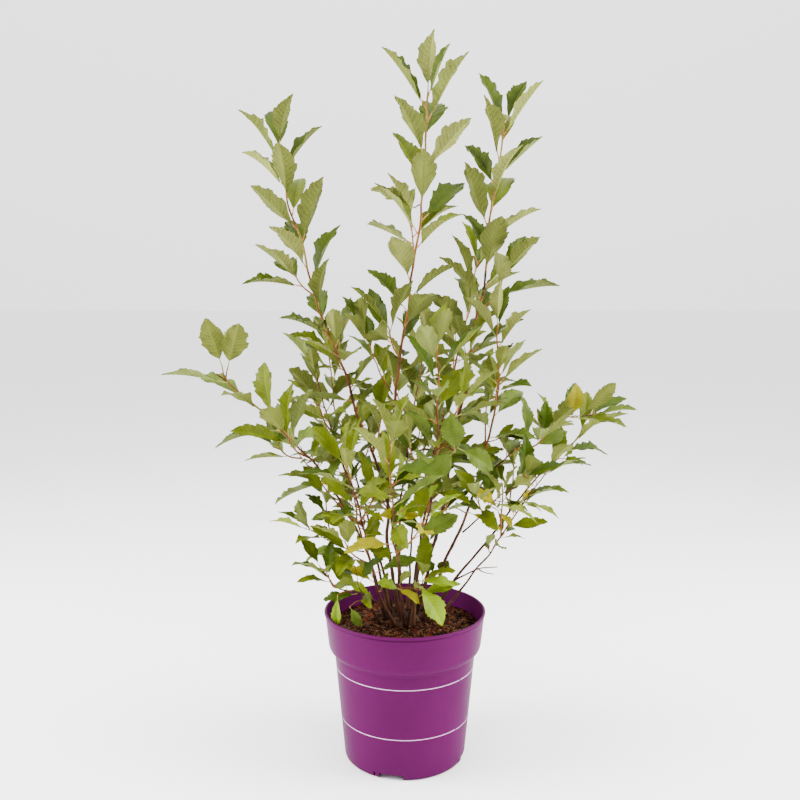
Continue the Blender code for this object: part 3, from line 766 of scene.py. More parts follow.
class Graph:
    """Adds shader nodes to a material or a world and joins them."""

    def __init__(self, owner):
        self.tree = owner.node_tree
        self.place = self.tree.nodes.new("ShaderNodeTexCoord").outputs

    def set(self, socket, value):
        """Joins another node's output to this input, or sets the input's own value."""
        if isinstance(value, bpy.types.NodeSocket):
            self.tree.links.new(value, socket)
        else:
            socket.default_value = (*value, 1) if socket.type == "RGBA" else value

    def node(self, kind, output, inputs, **settings):
        """One output of a new node that has these settings and inputs."""
        node = self.tree.nodes.new("ShaderNode" + kind)
        for name, value in settings.items():
            setattr(node, name, value)
        for name, value in inputs.items():
            self.set(node.inputs[name], value)
        return node.outputs[output]

    def noise(self, scale, detail=3, stretch=(1, 1, 1)):
        """Cloudy noise, which the scales of stretch draw out along the axes."""
        place = self.place["Object"]
        if stretch != (1, 1, 1):
            place = self.node("Mapping", "Vector", {"Scale": stretch, "Vector": place})
        return self.node("TexNoise", "Fac", {"Scale": scale, "Detail": detail, "Vector": place})

    def split(self, vector, axis):
        return self.node("SeparateXYZ", axis, {0: vector})

    def math(self, operation, a, b=0.0):
        return self.node("Math", 0, {0: a, 1: b}, operation=operation)

    def add(self, a, b):
        return self.math("ADD", a, b)

    def times(self, a, b):
        return self.math("MULTIPLY", a, b)

    def between(self, value, low, high, to_low=0.0, to_high=1.0):
        """The value's place between low and high, carried over to another range."""
        ranges = {"From Min": low, "From Max": high, "To Min": to_low, "To Max": to_high}
        return self.node("MapRange", "Result", {"Value": value, **ranges})

    def mix(self, factor, a, b):
        return self.node("Mix", "Result", {"Factor": factor, "A": a, "B": b}, data_type="RGBA")


class Paint(Graph):
    """A material of one colour, roughness and sheen, which nodes may vary."""

    def __init__(self, name, colour, roughness, sheen=0.5):
        self.material = bpy.data.materials.new(name)
        self.material.use_nodes = True
        self.material.diffuse_color = (*colour, 1)
        super().__init__(self.material)
        self.inputs = self.tree.nodes["Principled BSDF"].inputs
        self.set(self.inputs["Specular IOR Level"], sheen)
        self.finish(colour, roughness)

    def finish(self, colour, roughness, height=None, strength=0.0, depth=0.0):
        """Sets the colour and roughness, with any relief from a height, and gives the material."""
        self.set(self.inputs["Base Color"], colour)
        self.set(self.inputs["Roughness"], roughness)
        if height:
            bump = {"Strength": strength, "Distance": depth, "Height": height}
            self.set(self.inputs["Normal"], self.node("Bump", "Normal", bump))
        return self.material


def leaf_material(name, colour, vein, roughness, mottle, contrast):
    """Leaf skin: cloudy green with a pale midrib and side veins laid along the blade's own grid."""
    paint = Paint(name, colour, roughness, LEAF_SHEEN)
    cloud = paint.between(paint.noise(70, 4), 0.3, 0.7)
    skin = paint.mix(cloud, shade(colour, 1 - mottle), shade(colour, 1 + mottle))
    across = paint.math("SUBTRACT", paint.times(paint.split(paint.place["UV"], "X"), 2), 1)
    across = paint.math("ABSOLUTE", across)
    rib = paint.between(across, 0.03, 0.10, 1.0, 0.0)
    uneven = paint.times(paint.noise(60, 2), 3.0)
    run = paint.add(paint.times(paint.split(paint.place["UV"], "Y"), VEIN_PAIRS * math.pi), uneven)
    wave = paint.math("ABSOLUTE", paint.math("SINE", run))
    side = paint.math("POWER", wave, 9.0)
    veins = paint.math("MAXIMUM", rib, paint.times(side, paint.between(across, 0.2, 1.0, 0.9, 0.2)))
    # Painted shade: the blade is darkened between the side veins, in the furrows there, on both skins
    painted_furrow_shade = paint.between(wave, 0.0, 0.5, 1 - 0.4 * contrast, 1.0)
    skin = paint.mix(painted_furrow_shade, shade(colour, 0.25), skin)
    skin = paint.mix(paint.times(veins, contrast), skin, vein)
    shine = paint.between(cloud, 0, 1, roughness - 0.06, roughness + 0.08)
    height = paint.add(paint.times(paint.noise(450, 1), 0.2), veins)
    return paint.finish(skin, shine, height, 0.3, 0.08 * MM)


def bark_material(name, colour, roughness=0.62):
    """Young bark: streaks along the cane with pale pores and fine cracks."""
    paint = Paint(name, colour, roughness, WOOD_SHEEN)
    streaks = paint.noise(1, 5, (420, 420, 60))
    tone = paint.between(streaks, 0.3, 0.7)
    skin = paint.mix(tone, shade(colour, 0.62), shade(colour, 1.35))
    pores = paint.between(paint.noise(520, 1), 0.68, 0.74)
    skin = paint.mix(paint.times(pores, 0.6), skin, shade(colour, 2.4))
    shine = paint.between(tone, 0, 1, roughness + 0.12, roughness - 0.1)
    height = paint.add(streaks, paint.times(pores, 0.5))
    return paint.finish(skin, shine, height, 0.5, 0.5 * MM)


def plastic_material():
    """Satin moulded plastic with a fine grain and faint scuffs."""
    paint = Paint("pot_plastic", POT_COLOUR, 0.4, POT_SHEEN)
    cloud = paint.between(paint.noise(14), 0.3, 0.7)
    skin = paint.mix(cloud, shade(POT_COLOUR, 0.93), shade(POT_COLOUR, 1.07))
    scuffs = paint.between(paint.noise(1, 6, (35, 35, 260)), 0.66, 0.8)
    skin = paint.mix(paint.times(scuffs, 0.25), skin, POT_SCUFF)
    shine = paint.add(paint.between(cloud, 0, 1, 0.38, 0.44), paint.times(scuffs, 0.2))
    return paint.finish(skin, shine, paint.noise(900, 2), 0.06, 0.2 * MM)


def ink_material():
    """Slightly worn matt print."""
    paint = Paint("line_ink", LINE_COLOUR, 0.5)
    worn = paint.between(paint.noise(700, 2), 0.35, 0.6)
    return paint.finish(paint.mix(worn, shade(LINE_COLOUR, 0.86), LINE_COLOUR), 0.5, worn, 0.1, 0.05 * MM)


def soil_material(name, dark, light, scale):
    """Damp crumbs of compost or bark, with pale flecks."""
    paint = Paint(name, dark, 0.95, SOIL_SHEEN)
    grain = paint.noise(scale, 6)
    tone = paint.between(grain, 0.36, 0.66)
    fleck = paint.between(paint.noise(scale * 2.5, 2), 0.6, 0.68)
    skin = paint.mix(paint.times(fleck, 0.35), paint.mix(tone, dark, light), shade(light, 2.2))
    shine = paint.between(tone, 0, 1, 0.98, 0.78)
    return paint.finish(skin, shine, grain, 0.9, 1.5 * MM)


def soil_materials(name, colours, dark, scale):
    """A material for each colour, with this share of the colour in its dark crumbs."""
    rows = enumerate(colours)
    return [soil_material(f"{name}_{i}", shade(colour, dark), colour, scale) for i, colour in rows]


class Tones:
    """The leaf skins, upper and under side by turns, and which leaf gets which."""

    def __init__(self):
        self.materials = []
        for name, upper, under in LEAF_TONES:
            veins = shade(upper, 1.6), shade(under, 1.45)
            self.materials.append(leaf_material(f"leaf_{name}_upper", upper, veins[0], 0.46, 0.25, 0.35))
            self.materials.append(leaf_material(f"leaf_{name}_under", under, veins[1], 0.6, 0.2, 0.58))
        self.names = [tone[0] for tone in LEAF_TONES]

    def pick(self, cane, root, draw):
        """The number of the tone of a leaf with this root on this cane."""
        chance = draw.random()
        if root.z < LIGHT_TOP and chance < LIGHT_SHARE:
            name = "yellow" if draw.random() < YELLOW_SHARE else "lime"
        elif root.z > UPPER_FOOT:
            name = "upper_pale" if chance < PALE_SHARE else "upper"
        elif chance < (BLUISH_BLUE if cane in BLUISH else OTHERS_BLUE):
            name = "blue"
        else:
            name = "mid" if chance < MID_SHARE else "dark"
        return self.names.index(name)


class Pile:
    """Gathers many small shapes of four-sided faces into one mesh."""

    def __init__(self):
        self.points = []
        self.faces = []
        self.slots = []
        self.maps = []
        self.count = 0

    def add(self, points, faces, slots, uv=None):
        self.points.append(points)
        self.faces.append(faces + self.count)
        self.slots.append(np.broadcast_to(slots, len(faces)))
        self.maps.append(np.zeros((len(faces), 4, 2)) if uv is None else uv)
        self.count += len(points)

    def build(self, name, materials, slot, replaced=(), smooth=True):
        """Makes the object, which rides with the plant and may stand for solids of the frame."""
        faces = np.concatenate(self.faces).astype(np.int32)
        mesh = bpy.data.meshes.new(name)
        mesh.vertices.add(self.count)
        mesh.vertices.foreach_set("co", np.concatenate(self.points).astype(np.float32).ravel())
        mesh.loops.add(faces.size)
        mesh.loops.foreach_set("vertex_index", faces.ravel())
        mesh.polygons.add(len(faces))
        mesh.polygons.foreach_set("loop_start", np.arange(0, faces.size, 4, dtype=np.int32))
        mesh.polygons.foreach_set("material_index", np.concatenate(self.slots).astype(np.int32))
        mesh.polygons.foreach_set("use_smooth", np.full(len(faces), smooth))
        layer = mesh.uv_layers.new(name="grid")
        layer.data.foreach_set("uv", np.concatenate(self.maps).astype(np.float32).ravel())
        for made in materials:
            mesh.materials.append(made)
        mesh.update(calc_edges=True)
        mesh.validate()
        obj = linked(name, mesh)
        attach(obj, "root")
        if replaced:
            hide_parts(*replaced)
        return obj


def linked(name, data):
    """A new object with this data in the scene."""
    obj = bpy.data.objects.new(name, data)
    bpy.context.scene.collection.objects.link(obj)
    return obj


def grid_faces(rows, columns, around=False):
    """Faces of a grid of points in rows; around joins the last column to the first."""
    width = columns if around else columns - 1
    i, j = np.meshgrid(np.arange(rows - 1), np.arange(width), indexing="ij")
    k = (j + 1) % columns
    corners = (i * columns + j, i * columns + k, (i + 1) * columns + k, (i + 1) * columns + j)
    return np.stack(corners, -1).reshape(-1, 4)


def turned_shape(profile, sides):
    """Points and faces of (radius, height) points turned about the upright axis."""
    profile = np.array(profile)
    angles = np.arange(sides) * (2 * math.pi / sides)
    x = profile[:, :1] * np.cos(angles)
    y = profile[:, :1] * np.sin(angles)
    z = np.broadcast_to(profile[:, 1:], x.shape)
    points = np.stack([x, y, z], -1).reshape(-1, 3)
    return points, grid_faces(len(profile), sides, around=True)[:, ::-1]


def smooth_line(points, parts):
    """Points of a smooth curve through these ones, with this many steps from each to the next."""
    points = as_rows(points)
    before = np.concatenate([2 * points[:1] - points[1:2], points[:-1]])
    after = np.concatenate([points[1:], 2 * points[-1:] - points[-2:-1]])
    slopes = (after - before) / 2
    curve = []
    for i in range(len(points) - 1):
        for t in np.arange(parts) / parts:
            curve.append(
                points[i] * (1 + 2 * t) * (1 - t) ** 2
                + slopes[i] * t * (1 - t) ** 2
                + points[i + 1] * t * t * (3 - 2 * t)
                - slopes[i + 1] * t * t * (1 - t)
            )
    return np.array(curve + [points[-1]])


def tube_shape(points, radii, sides, bumps=0.0, seed=0):
    """A round limb along a line, with its ends drawn in to close them, and lumps of bark relief."""
    points = as_rows(points)
    ways = np.gradient(points, axis=0)
    ways /= np.linalg.norm(ways, axis=1)[:, None]
    normal = np.cross(ways[0], (0.3, 0.9, 0.1))
    angles = np.arange(sides) * (2 * math.pi / sides)
    rings = []
    for point, way, radius in zip(points, ways, radii):
        normal = normal - way * normal.dot(way)
        normal /= np.linalg.norm(normal)
        ring = np.outer(np.cos(angles), normal) + np.outer(np.sin(angles), np.cross(way, normal))
        if bumps:
            spots = [Vector(point + unit * BARK_PROBE) * BARK_LUMPS + Vector((seed, 0, 0)) for unit in ring]
            ring = ring * np.array([1 + bumps * noise.noise(spot) for spot in spots])[:, None]
        rings.append(point + ring * radius)
    first = np.repeat(points[:1], sides, axis=0)
    last = np.repeat(points[-1:] + ways[-1:] * radii[-1] * 0.6, sides, axis=0)
    return np.concatenate([first, *rings, last]), grid_faces(len(points) + 2, sides, around=True)


def add_twig(pile, slot, line, parts, radii, sides=TWIG_SIDES, bumps=TWIG_RELIEF, seed=0):
    """A thin limb along a smooth curve through the line's points, as thick as the radii in turn."""
    curve = smooth_line(line, parts)
    sizes = np.interp(np.linspace(0, len(radii) - 1, len(curve)), range(len(radii)), radii)
    pile.add(*tube_shape(curve, sizes, sides, bumps, seed), slot)


def drift(point):
    """Smooth noise in each direction, which unlike noise_vector is the same in every run."""
    return Vector([noise.noise(point + Vector((shift, shift, shift))) for shift in SWAY_SHIFTS])


def sway(point):
    """Where a point of the plant goes in the slight wander that wood and leaves share."""
    point = Vector(point)
    rise = clamp((point.z - SOIL_TOP) / SWAY_RISE)
    wander = drift(point * SWAY_SCALE) + 0.4 * drift(point * SWAY_SCALE * 2.7)
    return point + wander * SWAY * rise


def leaf_look(draw, low):
    """The habit of one leaf: high ones fold up like a trough, low ones lie flatter and wave more."""
    return SimpleNamespace(
        gain=HIGH_GAIN + (LOW_GAIN - HIGH_GAIN) * low,
        width=draw.uniform(0.195, 0.245) * (1 - 0.25 * low),
        obovate=draw.uniform(1.0, 1.3),
        fullness=draw.uniform(0.8, 1.0) * (1 - 0.2 * low),
        fold=draw.uniform(26, 46) * (1.1 - 0.6 * low),
        droop=draw.uniform(0.1, 0.55) + 0.45 * low * draw.random(),
        twist=draw.uniform(-0.5, 0.5),
        wave=draw.uniform(0.012, 0.03) * (1 + 1.1 * low),
        waves=draw.uniform(1.2, 2.4),
        phase=draw.random(),
        lobed=draw.uniform(0.04, 0.11) * (0.9 - 0.3 * low),
        crimped=draw.uniform(0.4, 1.0) * (0.9 - 0.2 * low),
        lopsided=draw.uniform(-0.08, 0.08),
        sickle=draw.uniform(-0.1, 0.1),
    )


class Blade:
    """The shape of a leaf blade on a grid whose rows follow its side veins, with a skin on each side."""

    def __init__(self, columns):
        self.across = np.array(columns)
        top = grid_faces(BLADE_ROWS + 1, len(columns))
        under = top[:, [0, 3, 2, 1]] + (BLADE_ROWS + 1) * len(columns)
        self.faces = np.concatenate([top, under])
        self.skins = np.repeat((0, 1), len(top))
        x, y = np.meshgrid((self.across + 1) / 2, np.linspace(0, 1, BLADE_ROWS + 1))
        chart = np.stack([x, y], -1).reshape(-1, 2)[top]
        self.uv = np.concatenate([chart, chart[:, [0, 3, 2, 1]]])

    def add_to(self, pile, place, look, tone, draw):
        """Adds one leaf, whose upper and under skins are two materials one after the other."""
        pile.add(self.points(place, look, draw), self.faces, 2 * tone + self.skins, self.uv)

    def points(self, place, look, draw):
        """Corners of both skins of one leaf in the plant's frame."""
        root, along, up, length = place
        row = np.linspace(0, 1, BLADE_ROWS + 1)[:, None]
        across = self.across[None, :]
        out = np.abs(across)
        hand = np.sign(across)
        belly = np.sin(math.pi * row)
        odd = np.arange(BLADE_ROWS + 1)[:, None] % 2 == 1
        vein = np.where(odd, 1.0, -1.0)

        # Teeth at the edge, and the outline, which waves a little
        uneven = np.array([[draw.uniform(*TOOTH_UNEVEN) for _ in self.across] for _ in row])
        tooth = vein * uneven * (out > EDGE)
        tooth = tooth * np.clip((row - TOOTH_START) * 5, 0, 1) * np.clip((1 - row) * 10, 0, 1)
        spot = np.clip(row + VEIN_SLANT * out * belly + tooth * TOOTH_LEAN / BLADE_ROWS, 0, 1)
        width = np.sin(math.pi * np.clip(spot, *BLADE_ENDS) ** look.obovate) ** look.fullness
        crimp = np.sin(2 * math.pi * (look.waves * CRIMP * row + look.phase * 3) + hand * 2)
        width = width * look.width * (1 + look.lobed * crimp * out + look.lopsided * hand)
        x = across * width * (1 + TOOTH * tooth)
        y = PETIOLE + (1 - PETIOLE) * spot

        # Folded along the midrib, waved, bent sideways, twisted and drooping
        wave = np.sin(2 * math.pi * (look.waves * row + look.phase) + hand * 1.1)
        curl = look.wave * out**2 * (wave + look.crimped * crimp) * belly**0.5
        fold = math.radians(look.fold)
        relief = -VEIN_DEPTH * vein * np.sin(math.pi * out) * belly
        z = np.abs(x) * np.sin(fold) * (1 - FLAT_EDGE * out) + relief + curl
        x = x * np.cos(fold) + look.sickle * spot**2
        twist = look.twist * (spot - TWIST_START)
        x, z = x * np.cos(twist) - z * np.sin(twist), x * np.sin(twist) + z * np.cos(twist)
        bend = look.droop * spot * spot
        y, z = y - z * np.sin(bend), z * np.cos(bend) - look.droop * TIP_DROP * spot**3

        # The under skin lies below the upper one by the blade's thickness, most at the midrib
        rib = np.clip(1 - out / RIB_WIDTH, 0, 1) * (1.1 - spot)
        thick = (SKIN + RIB * rib + 0.5 * VEIN_DEPTH * odd * (1 - out)) * (out < EDGE)
        top = np.stack([x, y, z], -1)
        normal = np.cross(np.gradient(top, axis=1), np.gradient(top, axis=0))
        normal /= np.maximum(np.linalg.norm(normal, axis=-1, keepdims=True), 1e-9)
        shape = np.concatenate([skin.reshape(-1, 3) for skin in (top, top - normal * thick[..., None])])
        side = along.cross(up).normalized()
        frame = as_rows([side, along, side.cross(along).normalized()])
        return shape * (length * look.gain) @ frame + np.array(sway(root))


def add_petiole(pile, place, slot):
    """The stalk of a leaf, from the wood to a little way up the blade."""
    root, along, up, length = place
    root = sway(root)
    middle = root + along * PETIOLE * 0.5 * length - up * PETIOLE_SAG * length
    line = [root, middle, root + along * (PETIOLE + PETIOLE_OVERLAP) * length]
    add_twig(pile, slot, line, 2, [share * length for share in PETIOLE_RADII], PETIOLE_SIDES, 0)


def make_leaves(mass, main_count, tones, draw):
    """The leaves of one mass, each with the look of its height in the crown."""
    pile = Pile()
    full, small = Blade(FULL_COLUMNS), Blade(SMALL_COLUMNS)
    for i, place in enumerate(mass.leaves):
        root = place[0]
        look = leaf_look(draw, clamp((SHADE_TOP - root.z) / (2 * SHADE_DEPTH)))
        tone = tones.pick(mass.cane.name, root, draw)
        (full if i < main_count else small).add_to(pile, place, look, tone, draw)
    pile.build(f"leaves_{mass.cane.name}", tones.materials, "leaf", [f"foliage_{mass.cane.name}"])


def make_features(twigs, petioles, limbs, tones):
    """Single leaves that the photograph shows at places of their own, each on a short spur."""
    leaves = Pile()
    blade = Blade(FULL_COLUMNS)
    for i, (cane, mark, root, tip, face, width, tone) in enumerate(FEATURES):
        draw = random.Random(FEATURE_SEED + i)
        root = in_metres(root)
        way = in_metres(tip) - root
        place = (root, way.normalized(), Vector(face), way.length)
        look = leaf_look(draw, FEATURE_LOW)
        look.gain = 1
        look.width = width
        blade.add_to(leaves, place, look, tones.names.index(tone), draw)
        add_petiole(petioles, place, 0)
        start = limbs[cane].path.at(mark * MM)[0]
        middle = start.lerp(root, 0.5) + Vector((0, 0, FEATURE_ARCH)) * (root - start).length
        add_twig(twigs, TWIG_TONES[0], map(sway, (start, middle, root)), 5, FEATURE_RADII, seed=i)
    leaves.build("single_leaves", tones.materials, "leaf")


def make_foliage(limbs, masses, barks):
    """Every leaf with its stalk, and the side twigs and spurs."""
    tones = Tones()
    stalks = [bark_material(f"stalk_{name}", colour, 0.5) for name, colour in STALK_TONES]
    twigs, petioles = Pile(), Pile()
    for mass, main_count in masses:
        draw = random.Random(mass.cane.seed + LOOK_SEED)
        make_leaves(mass, main_count, tones, draw)
        for line, radii in mass.twigs:
            radii = [radius * TWIG_SLIM for radius in radii]
            add_twig(twigs, draw.choice(TWIG_TONES), map(sway, line), 4, radii, seed=mass.cane.seed)
        for place in mass.leaves:
            red = place[0].z > SHADE_TOP or draw.random() < RED_STALKS
            add_petiole(petioles, place, int(red))
    make_features(twigs, petioles, limbs, tones)
    twigs.build("side_twigs", barks, "bark")
    petioles.build("petioles", stalks, "leaf")


def add_cane(pile, limb, tones):
    """The whole wood of one cane from the compost to its tip, paler and redder as it rises."""
    path, cane = limb.path, limb.cane
    start = STUB_FOOT if limb.start else 0
    marks = [start] + [mark for mark in path.marks if mark > start + STEP_MARGIN]
    line = as_rows(map(sway, smooth_line([path.at(mark)[0] for mark in marks], CANE_PARTS)))
    spots = np.interp(np.linspace(0, len(marks) - 1, len(line)), range(len(marks)), marks)
    draw = random.Random(cane.name)
    offset = draw.uniform(*TONE_OFFSET)
    foot = draw.choice(FOOT_TONES)
    swell = DEAD_SWELL if limb.is_bare() else 1
    radii = []
    rows = [0]
    for spot, point in zip(spots.tolist(), line):
        height = float(point[2]) - SOIL_TOP
        knot = max(0, math.cos(2 * math.pi * spot / KNOT_GAP)) ** KNOT_SHARPNESS
        slim = SLIM + (1 - SLIM) * max(0, 1 - height / SLIM_RISE)
        base = 1 + BASE_SWELL * math.exp(-max(height, 0) / BASE_RISE)
        radii.append(limb.radius(spot) * slim * swell * (1 + KNOT * knot) * base)
        patch = max(noise.noise(Vector((spot * PATCH_SCALE, cane.seed, 0))), 0)
        tone = height / TONE_RISE + TONE_ALONG * spot / path.length + offset - PATCH_DEPTH * patch
        lowest = LOWEST_TONE if height < TONE_RISE else 0
        at_foot = height < BASE_RISE * (2 + 2 * offset)
        rows.append(foot if at_foot else clamp(int(LOWEST_TONE + tone), lowest, tones - 1))
    shape, faces = tube_shape(line, radii, CANE_SIDES, BARK_RELIEF, cane.seed)
    pile.add(shape, faces, np.repeat(rows, CANE_SIDES))


def make_canes(limbs):
    """All the canes as one piece, with the side fork at the end of the dead twig."""
    barks = [bark_material(f"bark_{name}", colour) for name, colour in BARK_TONES]
    wood = Pile()
    for limb in limbs.values():
        add_cane(wood, limb, len(barks))
    path = limbs["dead_twig"].path
    fork = sway(path.at(path.length * DEAD_FORK_SHARE)[0])
    line = [fork + in_metres(step) for step in DEAD_FORK]
    add_twig(wood, 0, line, 4, (1.0 * MM, 0.5 * MM), bumps=BARK_RELIEF)
    wood.build("canes", barks, "bark", [f"cane_{name}" for name in limbs])
    return barks


def make_root_stock():
    """The lumpy woody stock that the canes rise from, with stubs of canes cut long ago."""
    foot = SOIL_TOP - CROWN_SINK
    profile = (
        (CROWN_RADIUS, 0),
        (CROWN_RADIUS * 0.9, 0.3),
        (CROWN_RADIUS * 0.78, 0.55),
        (CROWN_NECK * 0.75, 0.8),
        (CROWN_NECK * 0.45, 0.95),
        (CROWN_NECK * 0.15, 1),
        (0.1 * MM, 1),
    )
    profile = smooth_line([(radius, foot + CROWN_HEIGHT * share) for radius, share in profile], 3)
    points, faces = turned_shape(profile, CROWN_SIDES)
    for point in points:
        lump = noise.noise(Vector(point) * 90) + 0.6 * noise.noise(Vector(point) * 260)
        point[:2] *= 1 + CROWN_LUMPS * lump
        point[2] += CROWN_BUMPS * lump * (point[2] > foot + 1 * MM)
    pile = Pile()
    pile.add(points, faces[:, ::-1], 0)
    draw = random.Random(STOCK_SEED)
    for degrees, radius, height in STOCK_STUBS:
        turn = math.radians(degrees)
        base = np.array([*polar(radius, turn), SOIL_TOP / MM])
        lean = np.array([*polar(CUT_LEAN, turn), 1.0]) * height / CUT_STEPS
        line = [(base + lean * step) * MM for step in range(CUT_STEPS + 1)]
        sizes = [draw.uniform(*CUT_RADII) * MM * (1 - CUT_TAPER * step) for step in range(CUT_STEPS + 1)]
        pile.add(*tube_shape(line, sizes, CANE_SIDES, CUT_RELIEF, draw.random()), 1)
    barks = [bark_material(f"stock_{name}", colour, 0.8) for name, colour in STOCK_TONES]
    pile.build("root_stock", barks, "bark", ["root_crown"])


def pot_outline():
    """Points down the pot's outer side, across under its base and up its inner side to the lip.

    Each row is the radius and height of a corner, and the points round it, counted from it in millimetres.
    """
    corners = (
        (RIM_RADIUS, POT_HEIGHT, (-1.5, 0), (-0.5, -0.15), (-0.12, -0.5), (0, -1)),
        (RIM_RADIUS, LIP_FOOT, (0, 0.6), (-0.3, 0.1), (-1, -0.1)),
        (BAND_TOP_RADIUS - LIP_GROOVE, LIP_FOOT, (0, -0.6), (0, -1.4)),
        (BAND_TOP_RADIUS, LIP_FOOT, (-0.2, -2.4)),
        (band_radius(BAND_MIDDLE), BAND_MIDDLE, (0, 0)),
        (BAND_FOOT_RADIUS, BAND_FOOT, (0.2, 2), (-0.2, -0.8), (-0.8, -3)),
        (STEP_EDGE_RADIUS, STEP_EDGE, (1.7, 1.7), (0.8, 0.6), (0, 0)),
        (STEP_NOOK_RADIUS, STEP_EDGE, (0, 0.5)),
        (STEP_NOOK_RADIUS, STEP_FOOT, (0.05, 0)),
        (BODY_TOP_RADIUS, BODY_TOP, (0.15, 1), (-0.15, -1.5)),
        *[(body_radius(height), height, (0, 0)) for height in BODY_RINGS],
        (FOOT_RADIUS, FOOT_TOP, (0.15, 1.5), (-0.1, -1)),
        (FOOT_RADIUS - FOOT_EDGE * 0.5, FOOT_EDGE * 1.6, (0, 0)),
        (FOOT_RADIUS - FOOT_EDGE * 1.4, FOOT_EDGE * 0.7, (0, 0)),
        (RING_OUTER, 0, (0.2, 0.15), (-0.4, 0)),
        (RING_INNER, 0, (0.4, 0), (0, 0.4)),
        (RING_INNER, BASE_UNDERSIDE, (0, -0.3), (-0.3, 0)),
        (AXIS_HAIR, BASE_UNDERSIDE, (0, 0)),
        (AXIS_HAIR, BASE_TOP, (0, 0)),
        (inner_radius(BASE_TOP), BASE_TOP, (-1, 0), (0, 1)),
        (inner_radius(BODY_TOP), BODY_TOP, (0, 0)),
        (inner_radius(BAND_FOOT), BAND_FOOT, (-0.6, -2), (0, 1)),
        (inner_radius(INNER_RING), INNER_RING, (0, 0)),
        (inner_radius(POT_HEIGHT), POT_HEIGHT, (-0.3, -1.2), (-0.1, -0.5), (0.4, -0.1)),
        (RIM_RADIUS, POT_HEIGHT, (-1.5, 0)),
    )
    outline = []
    for radius, height, *points in corners:
        outline += [(radius + out * MM, height + up * MM) for out, up in points]
    return outline


def cut_notch(pot, angle, width):
    """Adds the Boolean that cuts one opening up through the foot ring, and gives its cutter."""
    mesh = bpy.data.meshes.new("notch_cutter")
    mesh.from_pydata(BOX * (NOTCH_DEPTH, width, 2 * NOTCH_HEIGHT), [], BOX_FACES)
    cutter = linked("notch_cutter", mesh)
    cutter.location = (*polar((RING_INNER + FOOT_RADIUS) / 2, angle), 0)
    cutter.rotation_euler.z = angle
    cut = pot.modifiers.new("notch", "BOOLEAN")
    cut.object = cutter
    cut.solver = "EXACT"
    return cutter


def make_pot():
    """The pot with its rolled lip, rim band, foot ring, and notches with a narrow slit beside each."""
    pile = Pile()
    pile.add(*turned_shape(pot_outline(), POT_FACETS), 0)
    pot = pile.build("pot_shell", [plastic_material()], "pot", ["pot"])
    pot.modifiers.new("weld", "WELD").merge_threshold = WELD
    cutters = []
    for i in range(NOTCH_COUNT):
        degrees = FIRST_NOTCH_DEGREES + i * 360 / NOTCH_COUNT
        cutters.append(cut_notch(pot, math.radians(degrees), NOTCH_WIDTH))
        cutters.append(cut_notch(pot, math.radians(degrees - SLIT_ASIDE), SLIT_WIDTH))
    graph = bpy.context.evaluated_depsgraph_get()
    pot.data = bpy.data.meshes.new_from_object(pot.evaluated_get(graph))
    pot.modifiers.clear()
    pot.data.shade_smooth()
    pot.data.set_sharp_from_angle(angle=math.radians(SHARP_EDGE))
    for cutter in cutters:
        bpy.data.objects.remove(cutter, do_unlink=True)


def make_lines():
    """The two printed lines round the body, each with the small break where the print meets."""
    pile = Pile()
    angles = np.linspace(math.radians(PRINT_SEAM + LINE_BREAK), math.radians(PRINT_SEAM + 360), LINE_STEPS)
    for height, slip in LINES:
        rows = []
        for up in (-LINE_WIDTH / 2, LINE_WIDTH / 2):
            rise = height + up + slip * np.linspace(0, 1, LINE_STEPS)
            radius = body_radius(rise) + LINE_PROUD
            rows.append(np.stack([radius * np.cos(angles), radius * np.sin(angles), rise], -1))
        pile.add(np.concatenate(rows), grid_faces(2, LINE_STEPS), 0)
    pile.build("pot_lines", [ink_material()], "pot")


def soil_point(x, y, rise=0.0):
    """A point at or above the lumpy surface of the compost."""
    radius = math.hypot(x, y)
    slope = max(radius - SOIL_FLAT_RADIUS, 0) / (inner_radius(SOIL_EDGE) - SOIL_FLAT_RADIUS)
    coarse = noise.noise(Vector((x * COARSE_LUMPS, y * COARSE_LUMPS, 3)))
    lumps = coarse + 0.5 * noise.noise(Vector((x * FINE_LUMPS, y * FINE_LUMPS, 7)))
    mound = SOIL_MOUND * math.exp(-((radius / CROWN_RADIUS) ** 2))
    return x, y, SOIL_TOP + (SOIL_EDGE - SOIL_TOP) * slope + mound + SOIL_LUMPS * lumps + rise


def make_bed(edge):
    """The lumpy bed of compost, with a skirt that runs down inside the pot's wall."""
    points = []
    for radius in np.linspace(SOIL_CENTRE, edge, SOIL_RINGS):
        for step in range(SOIL_STEPS):
            points.append(soil_point(*polar(radius, 2 * math.pi * step / SOIL_STEPS)))
    points += [(x, y, SOIL_EDGE - SOIL_SKIRT) for x, y, z in points[-SOIL_STEPS:]]
    pile = Pile()
    pile.add(np.array(points), grid_faces(SOIL_RINGS + 1, SOIL_STEPS, around=True), 0)
    pile.build("compost_bed", [soil_material("compost", SOIL_DARK, SOIL_BROWN, 420)], "soil", ["compost"])


